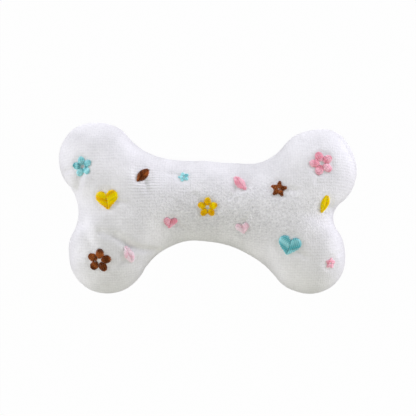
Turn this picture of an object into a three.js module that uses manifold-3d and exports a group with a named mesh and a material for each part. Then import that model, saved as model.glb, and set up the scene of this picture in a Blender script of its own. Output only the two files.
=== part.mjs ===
// A small stuffed, bone-shaped dog toy, lying flat on its back panel.
// Millimetres, +Z up: X runs along the toy and its embroidered front faces up.
import * as THREE from "three";
import { mergeVertices } from "three/addons/utils/BufferGeometryUtils.js";
import Module from "manifold-3d";

const wasm = await Module();
wasm.setup();

// Outline: four round lobes, the edges of the shaft, and the notch at each end
const topLeftLobe = { x: -52.5, y: 23, r: 17.75 };
const bottomLeftLobe = { x: -47, y: -21, r: 19 };
const topRightLobe = { x: 51, y: 18, r: 19.25 };
const bottomRightLobe = { x: 47.5, y: -22.5, r: 17.75 };
const topEdgeStart = { x: -11.5, y: 22.75 };
const topEdgeEnd = { x: 19.5, y: 21.5 };
const archTop = { x: -5.5, y: -15.5 };
const leftNotchRadius = 21;
const rightNotchRadius = 10;

// Stuffed thickness, measured from the seam plane out to the pile
const shaftHalfThickness = 14.5;
const endHalfThickness = 17;
const shaftLevelReach = 6;
const endReach = 36;
const spineReach = 41;
const spineEndSnap = 1.5;
const restFlatDepth = 0.5;

// How square the cross-section gets as it grows wider than the shaft
const shaftPower = 2;
const widePowerShare = 0.9;

// Cloth, seam and thread
const clothThickness = 1.5;
const seamAllowance = 4.5;
const allowanceThickness = 1.2;
const backingThickness = 0.4;
const threadRadius = 0.25;
const threadInset = 3.2;
const closingStitchPitch = 2.5;
const closingStitchHalfSpan = 1.6;
const clearance = 0.3;
const cutOverrun = 2;

// Embroidered motifs
const largeMotifRadius = 5.6;
const mediumMotifRadius = 4.6;
const smallMotifRadius = 3.4;
const motifThickness = 0.8;

// Squeaker: a soft bladder with a reed whistle plugged into its neck
const bladderRadius = 12;
const bladderHeight = 12;
const bladderWall = 1.2;
const bladderCorner = 2.5;
const bladderFoldDepth = 1.4;
const bladderFoldHalfHeight = 1.6;
const bladderDrop = 6.5;
const neckRadius = 6;
const neckHeight = 1.5;
const whistleStemRadius = 4;
const whistleStemLength = 6;
const whistleBoreRadius = 2.5;
const whistleFlangeRadius = 6.5;
const whistleFlangeThickness = 1;
const reedLength = 5.2;
const reedWidth = 3;
const reedThickness = 0.15;
const reedWedgeLength = 1.8;
const reedSlotWidth = 1.6;
const reedSlotDepth = 1.1;
const reedSlotFloor = 1;
const shaftFillLength = 30;

// How finely the cloth is faceted
const lobeSteps = 10;
const shaftSteps = 12;
const notchSteps = 2;
const ringCount = 6;
const backedRings = 4;
const lathePieces = 24;
const smallLathePieces = 20;
const threadSides = 4;

// The circles that join the lobes
function waistCircle(lobe, edge, side) {
  const rise = (edge.y - lobe.y) * side;
  const run = edge.x - lobe.x;
  const r = (run * run + rise * rise - lobe.r * lobe.r) / (2 * (lobe.r - rise));
  return { x: edge.x, y: edge.y + side * r, r };
}

function notchCircle(upper, lower, radius, side) {
  const between = new THREE.Vector2(lower.x - upper.x, lower.y - upper.y);
  const distance = between.length();
  const along = between.clone().divideScalar(distance);
  const outward = new THREE.Vector2(-along.y, along.x);
  if (outward.x * side < 0) outward.negate();
  const upperReach = upper.r + radius;
  const lowerReach = lower.r + radius;
  const foot = (upperReach ** 2 - lowerReach ** 2 + distance ** 2) / (2 * distance);
  const height = Math.sqrt(upperReach ** 2 - foot ** 2);
  return {
    x: upper.x + along.x * foot + outward.x * height,
    y: upper.y + along.y * foot + outward.y * height,
    r: radius,
  };
}

function touchPoint(a, b) {
  const share = a.r / (a.r + b.r);
  return new THREE.Vector2(a.x + (b.x - a.x) * share, a.y + (b.y - a.y) * share);
}

function facingPoint(circle, target) {
  const way = new THREE.Vector2(target.x - circle.x, target.y - circle.y).setLength(circle.r);
  return new THREE.Vector2(circle.x + way.x, circle.y + way.y);
}

function arcBetween(circle, from, to, clockwise) {
  const startAngle = Math.atan2(from.y - circle.y, from.x - circle.x);
  const endAngle = Math.atan2(to.y - circle.y, to.x - circle.x);
  return new THREE.ArcCurve(circle.x, circle.y, circle.r, startAngle, endAngle, clockwise);
}

// The spine: a line inside the outline that every rib of the cloth starts from
const shaftMiddle = {
  x: ((topEdgeStart.x + topEdgeEnd.x) / 2 + archTop.x) / 2,
  y: ((topEdgeStart.y + topEdgeEnd.y) / 2 + archTop.y) / 2,
};
const leftEnd = { x: -spineReach, y: (topLeftLobe.y + bottomLeftLobe.y) / 2 };
const rightEnd = { x: spineReach, y: (topRightLobe.y + bottomRightLobe.y) / 2 };

function spinePoint(meanX) {
  const turn = THREE.MathUtils.clamp(meanX / spineReach, -Math.PI / 2, Math.PI / 2);
  let x = spineReach * Math.sin(turn);
  if (spineReach - Math.abs(x) < spineEndSnap) x = spineReach * Math.sign(x);
  const end = x < 0 ? leftEnd : rightEnd;
  const share = (x / spineReach) ** 2;
  return new THREE.Vector2(x, shaftMiddle.y + (end.y - shaftMiddle.y) * share);
}

// The outline as two runs of points, each from the left notch to the right one
const leftNotch = notchCircle(topLeftLobe, bottomLeftLobe, leftNotchRadius, -1);
const rightNotch = notchCircle(topRightLobe, bottomRightLobe, rightNotchRadius, 1);
const leftNotchPoint = facingPoint(leftNotch, leftEnd);
const rightNotchPoint = facingPoint(rightNotch, rightEnd);

function outlineRun(leftLobe, rightLobe, shaftStart, shaftEnd, side) {
  const clockwise = side > 0;
  const leftWaist = waistCircle(leftLobe, shaftStart, side);
  const rightWaist = waistCircle(rightLobe, shaftEnd, side);
  const lobeStart = touchPoint(leftLobe, leftNotch);
  const lobeEnd = touchPoint(leftLobe, leftWaist);
  const farLobeStart = touchPoint(rightLobe, rightWaist);
  const farLobeEnd = touchPoint(rightLobe, rightNotch);
  const shaft = new THREE.CurvePath();
  shaft.add(arcBetween(leftWaist, lobeEnd, shaftStart, !clockwise));
  if (shaftStart !== shaftEnd) {
    const start = new THREE.Vector2(shaftStart.x, shaftStart.y);
    shaft.add(new THREE.LineCurve(start, new THREE.Vector2(shaftEnd.x, shaftEnd.y)));
  }
  shaft.add(arcBetween(rightWaist, shaftEnd, farLobeStart, !clockwise));
  const stretches = [
    arcBetween(leftNotch, leftNotchPoint, lobeStart, !clockwise).getSpacedPoints(notchSteps),
    arcBetween(leftLobe, lobeStart, lobeEnd, clockwise).getSpacedPoints(lobeSteps),
    shaft.getSpacedPoints(shaftSteps),
    arcBetween(rightLobe, farLobeStart, farLobeEnd, clockwise).getSpacedPoints(lobeSteps),
    arcBetween(rightNotch, farLobeEnd, rightNotchPoint, !clockwise).getSpacedPoints(notchSteps),
  ];
  return stretches.flatMap((points) => points.slice(0, -1)).concat(rightNotchPoint);
}

const upperRun = outlineRun(topLeftLobe, topRightLobe, topEdgeStart, topEdgeEnd, 1);
const lowerRun = outlineRun(bottomLeftLobe, bottomRightLobe, archTop, archTop, -1);
const runSteps = upperRun.length - 1;

// A rib runs from the spine to the outline; the ribs go once around the toy
function makeRib(point, partner) {
  const root = spinePoint((point.x + partner.x) / 2);
  const reach = point.clone().sub(root);
  const shaftRib = (topEdgeStart.y + topEdgeEnd.y) / 2 - shaftMiddle.y;
  const fill = (Math.abs(root.x) - shaftLevelReach) / (endReach - shaftLevelReach);
  const endShare = THREE.MathUtils.smoothstep(fill, 0, 1);
  return {
    root,
    reach,
    height: shaftHalfThickness + (endHalfThickness - shaftHalfThickness) * endShare,
    power: shaftPower + widePowerShare * Math.max(0, reach.length() / shaftRib - 1),
  };
}

const ribs = upperRun.map((point, k) => makeRib(point, lowerRun[k]));
for (let k = runSteps - 1; k > 0; k--) ribs.push(makeRib(lowerRun[k], upperRun[k]));
const ribCount = ribs.length;

const ringShares = [];
for (let ring = 0; ring <= ringCount; ring++) {
  ringShares.push(Math.sin(((Math.PI / 2) * ring) / ringCount));
}

function ribPoint(rib, share) {
  const height = rib.height * Math.sqrt(Math.max(0, 1 - share ** rib.power));
  return new THREE.Vector3(rib.root.x + rib.reach.x * share, rib.root.y + rib.reach.y * share, height);
}

function ribNormal(index, share) {
  if (share === 0) return new THREE.Vector3(0, 0, 1);
  const next = ribPoint(ribs[(index + 1) % ribCount], share);
  const last = ribPoint(ribs[(index + ribCount - 1) % ribCount], share);
  const around = next.sub(last);
  if (share === 1) return new THREE.Vector3(-around.y, around.x, 0).normalize();
  const rib = ribs[index];
  const drop = Math.sqrt(1 - share ** rib.power);
  const slope = (-rib.height * rib.power * share ** (rib.power - 1)) / (2 * drop);
  const outward = new THREE.Vector3(rib.reach.x, rib.reach.y, slope);
  return around.cross(outward).normalize();
}

// The point of one rib and ring, sunk below the pile by a depth
function sunkPoint(index, ring, depth) {
  const share = ringShares[ring];
  const point = ribPoint(ribs[index], share);
  return point.addScaledVector(ribNormal(index, share), -depth);
}

function sunkRing(ring, depth) {
  return ribs.map((rib, index) => sunkPoint(index, ring, depth));
}

function sunkRings(depth, lastRing) {
  const rings = [];
  for (let ring = 0; ring <= lastRing; ring++) rings.push(sunkRing(ring, depth));
  return rings;
}

// A level ring at a distance inside the outline
function levelRing(inset, z) {
  return sunkRing(ringCount, inset).map((point) => point.setZ(z));
}

function mirrorRing(ring) {
  return ring.map((point) => new THREE.Vector3(point.x, point.y, -point.z));
}

// Triangles between two rings, always cut along the same diagonal
function band(inner, outer, facingUp) {
  const corners = [];
  const count = inner.length;
  for (let k = 0; k < count; k++) {
    const next = (k + 1) % count;
    const first = [inner[k], outer[next], outer[k]];
    const second = [inner[k], inner[next], outer[next]];
    if (facingUp) corners.push(...first, ...second);
    else corners.push(...first.reverse(), ...second.reverse());
  }
  return corners;
}

function sheetOf(rings, facingUp) {
  const corners = [];
  for (let ring = 1; ring < rings.length; ring++) {
    corners.push(...band(rings[ring - 1], rings[ring], facingUp));
  }
  return corners;
}

// Closed geometry from loose triangles: equal corners are merged, empty triangles dropped
function closedGeometry(corners) {
  const loose = new THREE.BufferGeometry().setFromPoints(corners);
  const merged = mergeVertices(loose);
  const index = [];
  for (let k = 0; k < merged.index.count; k += 3) {
    const [a, b, c] = [merged.index.getX(k), merged.index.getX(k + 1), merged.index.getX(k + 2)];
    if (a !== b && b !== c && c !== a) index.push(a, b, c);
  }
  merged.setIndex(index);
  return merged;
}

function toSolid(geometry) {
  const plain = geometry.clone();
  plain.deleteAttribute("normal");
  plain.deleteAttribute("uv");
  const merged = plain.index ? mergeVertices(plain.toNonIndexed()) : mergeVertices(plain);
  const vertProperties = new Float32Array(merged.attributes.position.array);
  const triVerts = new Uint32Array(merged.index.array);
  return new wasm.Manifold(new wasm.Mesh({ numProp: 3, vertProperties, triVerts }));
}

function toGeometry(solid) {
  const { vertProperties, triVerts } = solid.getMesh();
  const geometry = new THREE.BufferGeometry();
  geometry.setAttribute("position", new THREE.BufferAttribute(vertProperties, 3));
  geometry.setIndex(new THREE.BufferAttribute(triVerts, 1));
  return geometry;
}

function boxBetween(low, high) {
  const size = new THREE.Vector3().subVectors(high, low);
  const middle = new THREE.Vector3().addVectors(low, high).divideScalar(2);
  return toSolid(new THREE.BoxGeometry(size.x, size.y, size.z).translate(middle.x, middle.y, middle.z));
}

// Materials
function finish(color, roughness, metalness = 0) {
  return new THREE.MeshStandardMaterial({ color, roughness, metalness });
}

const velour = finish("#e6e6ea", 0.95);
const batting = finish("#f4f2ec", 1);
const interfacing = finish("#efefef", 0.9);
const sewingThread = finish("#f7f7f5", 0.6);
const bladderPlastic = finish("#e9eef2", 0.35);
const whistlePlastic = finish("#f5f5f0", 0.4);
const reedFilm = finish("#d8dde0", 0.2);
const threads = {
  gold: finish("#f0bc1c", 0.5),
  aqua: finish("#5cc2c8", 0.5),
  pink: finish("#e58ca6", 0.5),
  pale_pink: finish("#f6cfd6", 0.5),
  brown: finish("#63371e", 0.5),
};

const toy = new THREE.Group();

function place(name, geometry, material, parent = toy) {
  const piece = new THREE.Mesh(geometry, material);
  piece.name = name;
  parent.add(piece);
  return piece;
}

// Cloth panels: a velour shell each, with its seam allowance turned inwards
const seamHalfGap = clearance / 2;
const allowanceTop = seamHalfGap + allowanceThickness;

function panelGeometry() {
  const outside = sunkRings(0, ringCount - 1);
  const inside = sunkRings(clothThickness, ringCount - 1);
  const rim = levelRing(0, seamHalfGap);
  const allowanceUnder = levelRing(seamAllowance, seamHalfGap);
  const allowanceOver = levelRing(seamAllowance, allowanceTop);
  const wallFoot = inside[ringCount - 1].map((point, k) => {
    const foot = sunkPoint(k, ringCount, clothThickness);
    return foot.lerp(point, allowanceTop / point.z);
  });
  return closedGeometry([
    ...sheetOf([...outside, rim], true),
    ...band(rim, allowanceUnder, true),
    ...band(allowanceUnder, allowanceOver, true),
    ...band(allowanceOver, wallFoot, true),
    ...sheetOf([...inside, wallFoot], false),
  ]);
}

function mirrored(geometry) {
  const copy = geometry.clone().scale(1, 1, -1);
  const index = copy.index.array;
  for (let k = 0; k < index.length; k += 3) [index[k + 1], index[k + 2]] = [index[k + 2], index[k + 1]];
  return copy;
}

const outlinePoints = ribs.map((rib) => rib.root.clone().add(rib.reach));
const outlineBox = new THREE.Box2().setFromPoints(outlinePoints);
const restHeight = endHalfThickness - restFlatDepth;
const frontGeometry = panelGeometry();
const underFloor = boxBetween(
  new THREE.Vector3(outlineBox.min.x, outlineBox.min.y, -endHalfThickness - cutOverrun),
  new THREE.Vector3(outlineBox.max.x, outlineBox.max.y, -restHeight),
);
const frontPanel = place("front_panel", frontGeometry, velour);
const backPanel = place("back_panel", toGeometry(toSolid(mirrored(frontGeometry)).subtract(underFloor)), velour);

// Cut-away backing behind the embroidery of each panel
function backingGeometry() {
  const over = sunkRings(clothThickness + clearance, backedRings);
  const under = sunkRings(clothThickness + clearance + backingThickness, backedRings);
  return closedGeometry([
    ...sheetOf(over, true),
    ...band(over[backedRings], under[backedRings], true),
    ...sheetOf(under, false),
  ]);
}

const frontBacking = backingGeometry();
place("front_embroidery_backing", frontBacking, interfacing);
place("back_embroidery_backing", mirrored(frontBacking), interfacing);

// Seam: a needle thread and a bobbin thread hold the two allowances together
const topEdgeRibs = upperRun.filter((point) => point.x > topEdgeStart.x && point.x < topEdgeEnd.x);
const openFrom = upperRun.indexOf(topEdgeRibs[0]);
const openTo = upperRun.indexOf(topEdgeRibs[topEdgeRibs.length - 1]);
const threadHeight = allowanceTop + clearance + threadRadius;

function threadRings(centres, across) {
  return centres.map((centre, k) => {
    const ring = [];
    for (let side = 0; side < threadSides; side++) {
      const turn = (2 * Math.PI * side) / threadSides;
      const outward = across[k].clone().multiplyScalar(Math.cos(turn) * threadRadius);
      ring.push(centre.clone().add(outward).add(new THREE.Vector3(0, 0, Math.sin(turn) * threadRadius)));
    }
    return ring;
  });
}

function capOf(ring, middle, facingUp) {
  return band(ring.map(() => middle), ring, facingUp);
}

function threadGeometry(centres, across) {
  const rings = threadRings(centres, across);
  const last = rings.length - 1;
  return closedGeometry([
    ...capOf(rings[0], centres[0], true),
    ...sheetOf(rings, true),
    ...capOf(rings[last], centres[last], false),
  ]);
}

function seamThread(side) {
  const centres = [];
  const across = [];
  for (let step = openTo; step <= openFrom + ribCount; step++) {
    const index = step % ribCount;
    centres.push(sunkPoint(index, ringCount, threadInset).setZ(threadHeight * side));
    across.push(ribNormal(index, 1));
  }
  return threadGeometry(centres, across);
}

place("seam_needle_thread", seamThread(1), sewingThread);
place("seam_bobbin_thread", seamThread(-1), sewingThread);

// Hand-sewn stitches that close the gap the toy was turned and stuffed through
function closingThread() {
  const start = new THREE.Vector3(topEdgeStart.x, topEdgeStart.y, 0);
  const end = new THREE.Vector3(topEdgeEnd.x, topEdgeEnd.y, 0);
  const along = end.clone().sub(start);
  const stitches = Math.max(1, Math.floor(along.length() / closingStitchPitch) - 1);
  const outward = new THREE.Vector3(-along.y, along.x, 0).normalize();
  const slack = (along.length() - stitches * closingStitchPitch) / 2;
  along.normalize();
  const centres = [];
  for (let stitch = 0; stitch <= stitches; stitch++) {
    const centre = start.clone().addScaledVector(along, slack + stitch * closingStitchPitch);
    centre.addScaledVector(outward, clearance + 2 * threadRadius);
    centres.push(centre.setZ(stitch % 2 ? closingStitchHalfSpan : -closingStitchHalfSpan));
  }
  return new THREE.CatmullRomCurve3(centres, false, "centripetal");
}

const threadSection = new THREE.Shape().absarc(0, 0, threadRadius, 0, 2 * Math.PI);
const closingCurve = closingThread();
const closingGeometry = new THREE.ExtrudeGeometry(threadSection, {
  steps: (closingCurve.points.length - 1) * 3,
  extrudePath: closingCurve,
  curveSegments: 5,
});
place("closing_thread", closingGeometry, sewingThread);

// Squeaker: everything on it is turned about one upright axis
const squeaker = new THREE.Group();
squeaker.position.set(shaftMiddle.x, shaftMiddle.y, -bladderDrop);
toy.add(squeaker);
const stemClearRadius = whistleStemRadius + clearance;
const neckTop = bladderHeight + neckHeight;
const flangeUnder = neckTop + clearance;
const flangeTop = flangeUnder + whistleFlangeThickness;
const stemFoot = flangeUnder - whistleStemLength;

function turned(points, pieces) {
  const profile = points.map(([radius, z]) => new THREE.Vector2(radius, z));
  return new THREE.LatheGeometry(profile, pieces).rotateX(Math.PI / 2);
}

// The side of the bladder, with its bellows fold, at an inset from the outside
function bladderSide(inset) {
  const straight = bladderRadius - inset;
  const middle = bladderHeight / 2;
  return [
    [bladderRadius - bladderCorner, inset],
    [straight, bladderCorner],
    [straight, middle - bladderFoldHalfHeight],
    [straight - bladderFoldDepth, middle],
    [straight, middle + bladderFoldHalfHeight],
    [straight, bladderHeight - bladderCorner],
    [bladderRadius - bladderCorner, bladderHeight - inset],
  ];
}

const bladderProfile = [
  [0, 0],
  ...bladderSide(0),
  [neckRadius, bladderHeight],
  [neckRadius, neckTop],
  [stemClearRadius, neckTop],
  [stemClearRadius, bladderHeight - bladderWall],
  ...bladderSide(bladderWall).reverse(),
  [0, bladderWall],
];
place("squeaker_bladder", turned(bladderProfile, lathePieces), bladderPlastic, squeaker);

const whistleProfile = [
  [whistleBoreRadius, stemFoot],
  [whistleStemRadius, stemFoot],
  [whistleStemRadius, flangeUnder],
  [whistleFlangeRadius, flangeUnder],
  [whistleFlangeRadius, flangeTop],
  [whistleBoreRadius, flangeTop],
  [whistleBoreRadius, stemFoot],
];
place("whistle_body", turned(whistleProfile, smallLathePieces), whistlePlastic, squeaker);

// Reed seat, reed and wedge, one behind the other across the whistle's bore
const insertRadius = whistleBoreRadius - clearance;
const reedSide = clearance;
const wedgeSide = reedSide + reedThickness + clearance;

function halfRound(radius, flatAt, side, length) {
  const turn = Math.acos(flatAt / radius);
  const section = new THREE.Shape();
  if (side > 0) section.absarc(0, 0, radius, -turn, turn);
  else section.absarc(0, 0, radius, turn, 2 * Math.PI - turn);
  return new THREE.ExtrudeGeometry(section, { depth: length, bevelEnabled: false, curveSegments: 8 });
}

const seatLength = flangeTop - stemFoot;
const slot = boxBetween(
  new THREE.Vector3(-reedSlotDepth, -reedSlotWidth / 2, reedSlotFloor),
  new THREE.Vector3(cutOverrun, reedSlotWidth / 2, seatLength + cutOverrun),
);
const seatGeometry = toGeometry(toSolid(halfRound(insertRadius, 0, -1, seatLength)).subtract(slot));
place("reed_seat", seatGeometry, whistlePlastic, squeaker).position.z = stemFoot;

const reedGeometry = new THREE.BoxGeometry(reedThickness, reedWidth, reedLength);
const reed = place("reed", reedGeometry, reedFilm, squeaker);
reed.position.set(reedSide + reedThickness / 2, 0, flangeTop - reedLength / 2);

const wedgeGeometry = halfRound(insertRadius, wedgeSide, 1, reedWedgeLength);
place("reed_wedge", wedgeGeometry, whistlePlastic, squeaker).position.z = flangeTop - reedWedgeLength;

// Stuffing: the room inside the cloth, parted into clumps for the shaft and lobes
const fillDepth = clothThickness + backingThickness + 2 * clearance;
const fillTop = sunkRings(fillDepth, ringCount - 1);
const fillRim = levelRing(fillDepth, 0);
const insideRoom = toSolid(
  closedGeometry([
    ...sheetOf([...fillTop, fillRim], true),
    ...sheetOf([...fillTop.map(mirrorRing), fillRim], false),
  ]),
);

const grooveHalfHeight = threadHeight + threadRadius + clearance;
const grooveInset = seamAllowance + clearance;
const grooveRings = [
  levelRing(grooveInset, grooveHalfHeight),
  levelRing(-cutOverrun, grooveHalfHeight),
  levelRing(-cutOverrun, -grooveHalfHeight),
  levelRing(grooveInset, -grooveHalfHeight),
  levelRing(grooveInset, grooveHalfHeight),
];
const allowanceGroove = toSolid(closedGeometry(sheetOf(grooveRings, true)));

const squeakerRoom = toSolid(
  turned(
    [
      [0, -clearance],
      [bladderRadius - bladderCorner + clearance, -clearance],
      [bladderRadius + clearance, bladderCorner - clearance],
      [bladderRadius + clearance, bladderHeight - bladderCorner + clearance],
      [bladderRadius - bladderCorner + clearance, bladderHeight + clearance],
      [whistleFlangeRadius + clearance, bladderHeight + clearance],
      [whistleFlangeRadius + clearance, flangeTop + clearance],
      [0, flangeTop + clearance],
    ],
    lathePieces,
  ).translate(shaftMiddle.x, shaftMiddle.y, -bladderDrop),
);
const stuffing = insideRoom.subtract(allowanceGroove).subtract(squeakerRoom);

const shaftFillStart = shaftMiddle.x - shaftFillLength / 2;
const shaftFillEnd = shaftMiddle.x + shaftFillLength / 2;
const partHalfGap = clearance / 2;
const farHigh = endHalfThickness + cutOverrun;

function clump(name, low, high) {
  const region = boxBetween(
    new THREE.Vector3(low.x ?? outlineBox.min.x, low.y ?? outlineBox.min.y, low.z ?? -farHigh),
    new THREE.Vector3(high.x ?? outlineBox.max.x, high.y ?? outlineBox.max.y, high.z ?? farHigh),
  );
  place(name, toGeometry(stuffing.intersect(region)), batting);
}

const leftPartEdge = shaftFillStart - partHalfGap;
const rightPartEdge = shaftFillEnd + partHalfGap;
const shaftLow = { x: shaftFillStart + partHalfGap };
const shaftHigh = { x: shaftFillEnd - partHalfGap };
clump("shaft_front_stuffing", { ...shaftLow, z: partHalfGap }, shaftHigh);
clump("shaft_back_stuffing", shaftLow, { ...shaftHigh, z: -partHalfGap });
clump("top_left_lobe_stuffing", { y: leftEnd.y + partHalfGap }, { x: leftPartEdge });
clump("bottom_left_lobe_stuffing", {}, { x: leftPartEdge, y: leftEnd.y - partHalfGap });
clump("top_right_lobe_stuffing", { x: rightPartEdge, y: rightEnd.y + partHalfGap }, {});
clump("bottom_right_lobe_stuffing", { x: rightPartEdge }, { y: rightEnd.y - partHalfGap });

// Motif outlines in a unit circle, each drawn by a formula from a turn of 0 to 1
const flowerPetalCount = 5;
const flowerWaistShare = 0.55;
const starPointCount = 5;
const starWaistShare = 0.46;
const leafWidthShare = 0.46;
const heartWidthShare = 16 / 17;
const heartHeightShares = [13 / 17, -5 / 17, -2 / 17, -1 / 17];
const motifRingShares = [0, 0.5, 1];
const motifShapes = {
  heart: {
    points: 16,
    outline: (turn) => {
      const angle = 2 * Math.PI * turn;
      const x = heartWidthShare * Math.sin(angle) ** 3;
      const y = heartHeightShares.reduce((sum, share, k) => sum + share * Math.cos((k + 1) * angle), 0);
      return new THREE.Vector2(x, y);
    },
  },
  flower: {
    points: flowerPetalCount * 4,
    outline: (turn) => {
      const angle = 2 * Math.PI * turn;
      const swell = Math.abs(Math.cos((flowerPetalCount * angle) / 2));
      const radius = flowerWaistShare + (1 - flowerWaistShare) * swell;
      return new THREE.Vector2(Math.sin(angle), Math.cos(angle)).multiplyScalar(radius);
    },
  },
  star: {
    points: starPointCount * 2,
    outline: (turn) => {
      const angle = 2 * Math.PI * turn;
      const radius = Math.round(turn * starPointCount * 2) % 2 ? starWaistShare : 1;
      return new THREE.Vector2(Math.sin(angle), Math.cos(angle)).multiplyScalar(radius);
    },
  },
  leaf: {
    points: 12,
    outline: (turn) => {
      const angle = 2 * Math.PI * turn;
      const y = Math.cos(angle);
      return new THREE.Vector2(Math.sign(Math.sin(angle)) * leafWidthShare * (1 - y * y), y);
    },
  },
};

// Where a motif lies: its share of the way along a run, and from spine to edge
function motifSpot(side, alongShare, outShare) {
  const along = alongShare * runSteps;
  const step = Math.min(Math.floor(along), runSteps - 1);
  const first = side > 0 ? step : (ribCount - step) % ribCount;
  const second = side > 0 ? step + 1 : ribCount - step - 1;
  const blend = along - step;
  const spot = ribPoint(ribs[first], outShare).lerp(ribPoint(ribs[second], outShare), blend);
  const normal = ribNormal(first, outShare).lerp(ribNormal(second, outShare), blend).normalize();
  return { spot, normal };
}

function motifGeometry(panel, face, shape, radius, degrees, side, alongShare, outShare) {
  const { spot, normal } = motifSpot(side, alongShare, outShare);
  spot.z *= face;
  normal.z *= face;
  const eastward = new THREE.Vector3(face, 0, 0).projectOnPlane(normal).normalize();
  const northward = normal.clone().cross(eastward);
  const turn = THREE.MathUtils.degToRad(degrees);
  const ray = new THREE.Raycaster();
  const lift = largeMotifRadius;
  const laid = (point, height) => {
    const flat = point.clone().rotateAround(new THREE.Vector2(), turn).multiplyScalar(radius);
    const origin = spot.clone().addScaledVector(eastward, flat.x).addScaledVector(northward, flat.y);
    ray.set(origin.addScaledVector(normal, lift), normal.clone().negate());
    return ray.intersectObject(panel)[0].point.addScaledVector(normal, height);
  };
  const ringAt = (share, height) => {
    const ring = [];
    for (let k = 0; k < shape.points; k++) {
      ring.push(laid(shape.outline(k / shape.points).multiplyScalar(share), height));
    }
    return ring;
  };
  const under = motifRingShares.map((share) => ringAt(share, clearance));
  const over = motifRingShares.map((share) => ringAt(share, clearance + motifThickness));
  const rim = band(over.at(-1), under.at(-1), true);
  return closedGeometry([...sheetOf(over, true), ...rim, ...sheetOf(under, false)]);
}

// Motifs: shape, thread, radius, turn in degrees, side of the spine, and the two place shares
const frontMotifs = [
  ["flower", "aqua", mediumMotifRadius, 10, 1, 0.16, 0.62],
  ["leaf", "brown", mediumMotifRadius, -38, 1, 0.37, 0.5],
  ["heart", "gold", largeMotifRadius, 8, 1, 0.1, 0.18],
  ["leaf", "pale_pink", mediumMotifRadius, 24, -1, 0.29, 0.6],
  ["flower", "brown", largeMotifRadius, -6, -1, 0.2, 0.64],
  ["heart", "pink", smallMotifRadius, -10, -1, 0.42, 0.46],
  ["star", "aqua", smallMotifRadius, 15, 1, 0.46, 0.6],
  ["flower", "gold", mediumMotifRadius, 0, -1, 0.5, 0.14],
  ["leaf", "pink", mediumMotifRadius, 35, 1, 0.57, 0.5],
  ["heart", "pale_pink", smallMotifRadius, 12, -1, 0.57, 0.5],
  ["star", "brown", mediumMotifRadius, -8, 1, 0.67, 0.3],
  ["heart", "aqua", largeMotifRadius, -14, -1, 0.71, 0.42],
  ["flower", "pink", largeMotifRadius, 18, 1, 0.78, 0.62],
  ["leaf", "gold", mediumMotifRadius, -20, 1, 0.93, 0.55],
  ["star", "pink", smallMotifRadius, -12, -1, 0.83, 0.76],
];
const backMotifs = [
  ["star", "gold", mediumMotifRadius, 12, 1, 0.2, 0.68],
  ["heart", "pink", mediumMotifRadius, -8, -1, 0.18, 0.7],
  ["leaf", "aqua", mediumMotifRadius, 30, 1, 0.37, 0.7],
  ["flower", "pale_pink", smallMotifRadius, 0, -1, 0.4, 0.6],
  ["heart", "brown", mediumMotifRadius, 10, 1, 0.5, 0.12],
  ["star", "pink", smallMotifRadius, -15, 1, 0.61, 0.6],
  ["leaf", "gold", mediumMotifRadius, -32, -1, 0.61, 0.55],
  ["flower", "aqua", mediumMotifRadius, 16, 1, 0.82, 0.68],
  ["star", "brown", mediumMotifRadius, -10, -1, 0.8, 0.7],
];

function placeMotifs(faceName, panel, face, motifs) {
  motifs.forEach(([shape, thread, ...rest], k) => {
    const number = String(k + 1).padStart(2, "0");
    const geometry = motifGeometry(panel, face, motifShapes[shape], ...rest);
    place(`${faceName}_${thread}_${shape}_${number}`, geometry, threads[thread]);
  });
}

placeMotifs("front", frontPanel, 1, frontMotifs);
placeMotifs("back", backPanel, -1, backMotifs);

// The toy stands on its flattened back, centred over the origin
const middle = outlineBox.getCenter(new THREE.Vector2());
toy.position.set(-middle.x, -middle.y, restHeight);

export default toy;
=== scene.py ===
import cmath
import math

import bmesh
import bpy
import numpy as np
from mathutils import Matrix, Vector, noise
from mathutils.bvhtree import BVHTree
from mathutils.geometry import barycentric_transform


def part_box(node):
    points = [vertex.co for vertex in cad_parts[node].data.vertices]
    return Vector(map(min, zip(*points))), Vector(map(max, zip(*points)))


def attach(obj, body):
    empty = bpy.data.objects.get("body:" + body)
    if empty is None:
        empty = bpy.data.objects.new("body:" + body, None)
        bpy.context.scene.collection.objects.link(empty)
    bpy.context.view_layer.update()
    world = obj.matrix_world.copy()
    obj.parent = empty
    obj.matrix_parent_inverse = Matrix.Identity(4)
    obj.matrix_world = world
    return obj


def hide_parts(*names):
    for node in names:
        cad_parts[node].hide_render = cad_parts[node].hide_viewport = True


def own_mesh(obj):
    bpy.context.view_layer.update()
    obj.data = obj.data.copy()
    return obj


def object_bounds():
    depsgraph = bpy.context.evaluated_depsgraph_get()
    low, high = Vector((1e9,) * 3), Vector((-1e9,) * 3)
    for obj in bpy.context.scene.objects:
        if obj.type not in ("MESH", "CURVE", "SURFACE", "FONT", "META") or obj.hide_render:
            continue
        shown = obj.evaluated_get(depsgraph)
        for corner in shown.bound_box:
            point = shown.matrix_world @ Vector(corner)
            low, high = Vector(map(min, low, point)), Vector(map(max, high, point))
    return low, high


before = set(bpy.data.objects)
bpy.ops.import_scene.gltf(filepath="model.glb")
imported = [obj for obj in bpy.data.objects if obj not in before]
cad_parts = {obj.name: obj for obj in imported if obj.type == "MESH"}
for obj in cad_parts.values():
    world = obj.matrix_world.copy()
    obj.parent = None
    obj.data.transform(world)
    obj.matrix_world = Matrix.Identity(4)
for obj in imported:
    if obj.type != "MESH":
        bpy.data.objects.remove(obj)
cad_low, cad_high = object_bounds()


# Studio: the toy lies face up on a white floor and is seen from straight above through a
# long lens. Soft light comes in low from the far side and from both ends.
photo_width_px = 416
toy_left_px = 59
toy_right_px = 356
toy_top_px = 123
toy_bottom_px = 293.5
lens_mm = 100
sensor_mm = 36
seam_height = 0.0165

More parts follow.
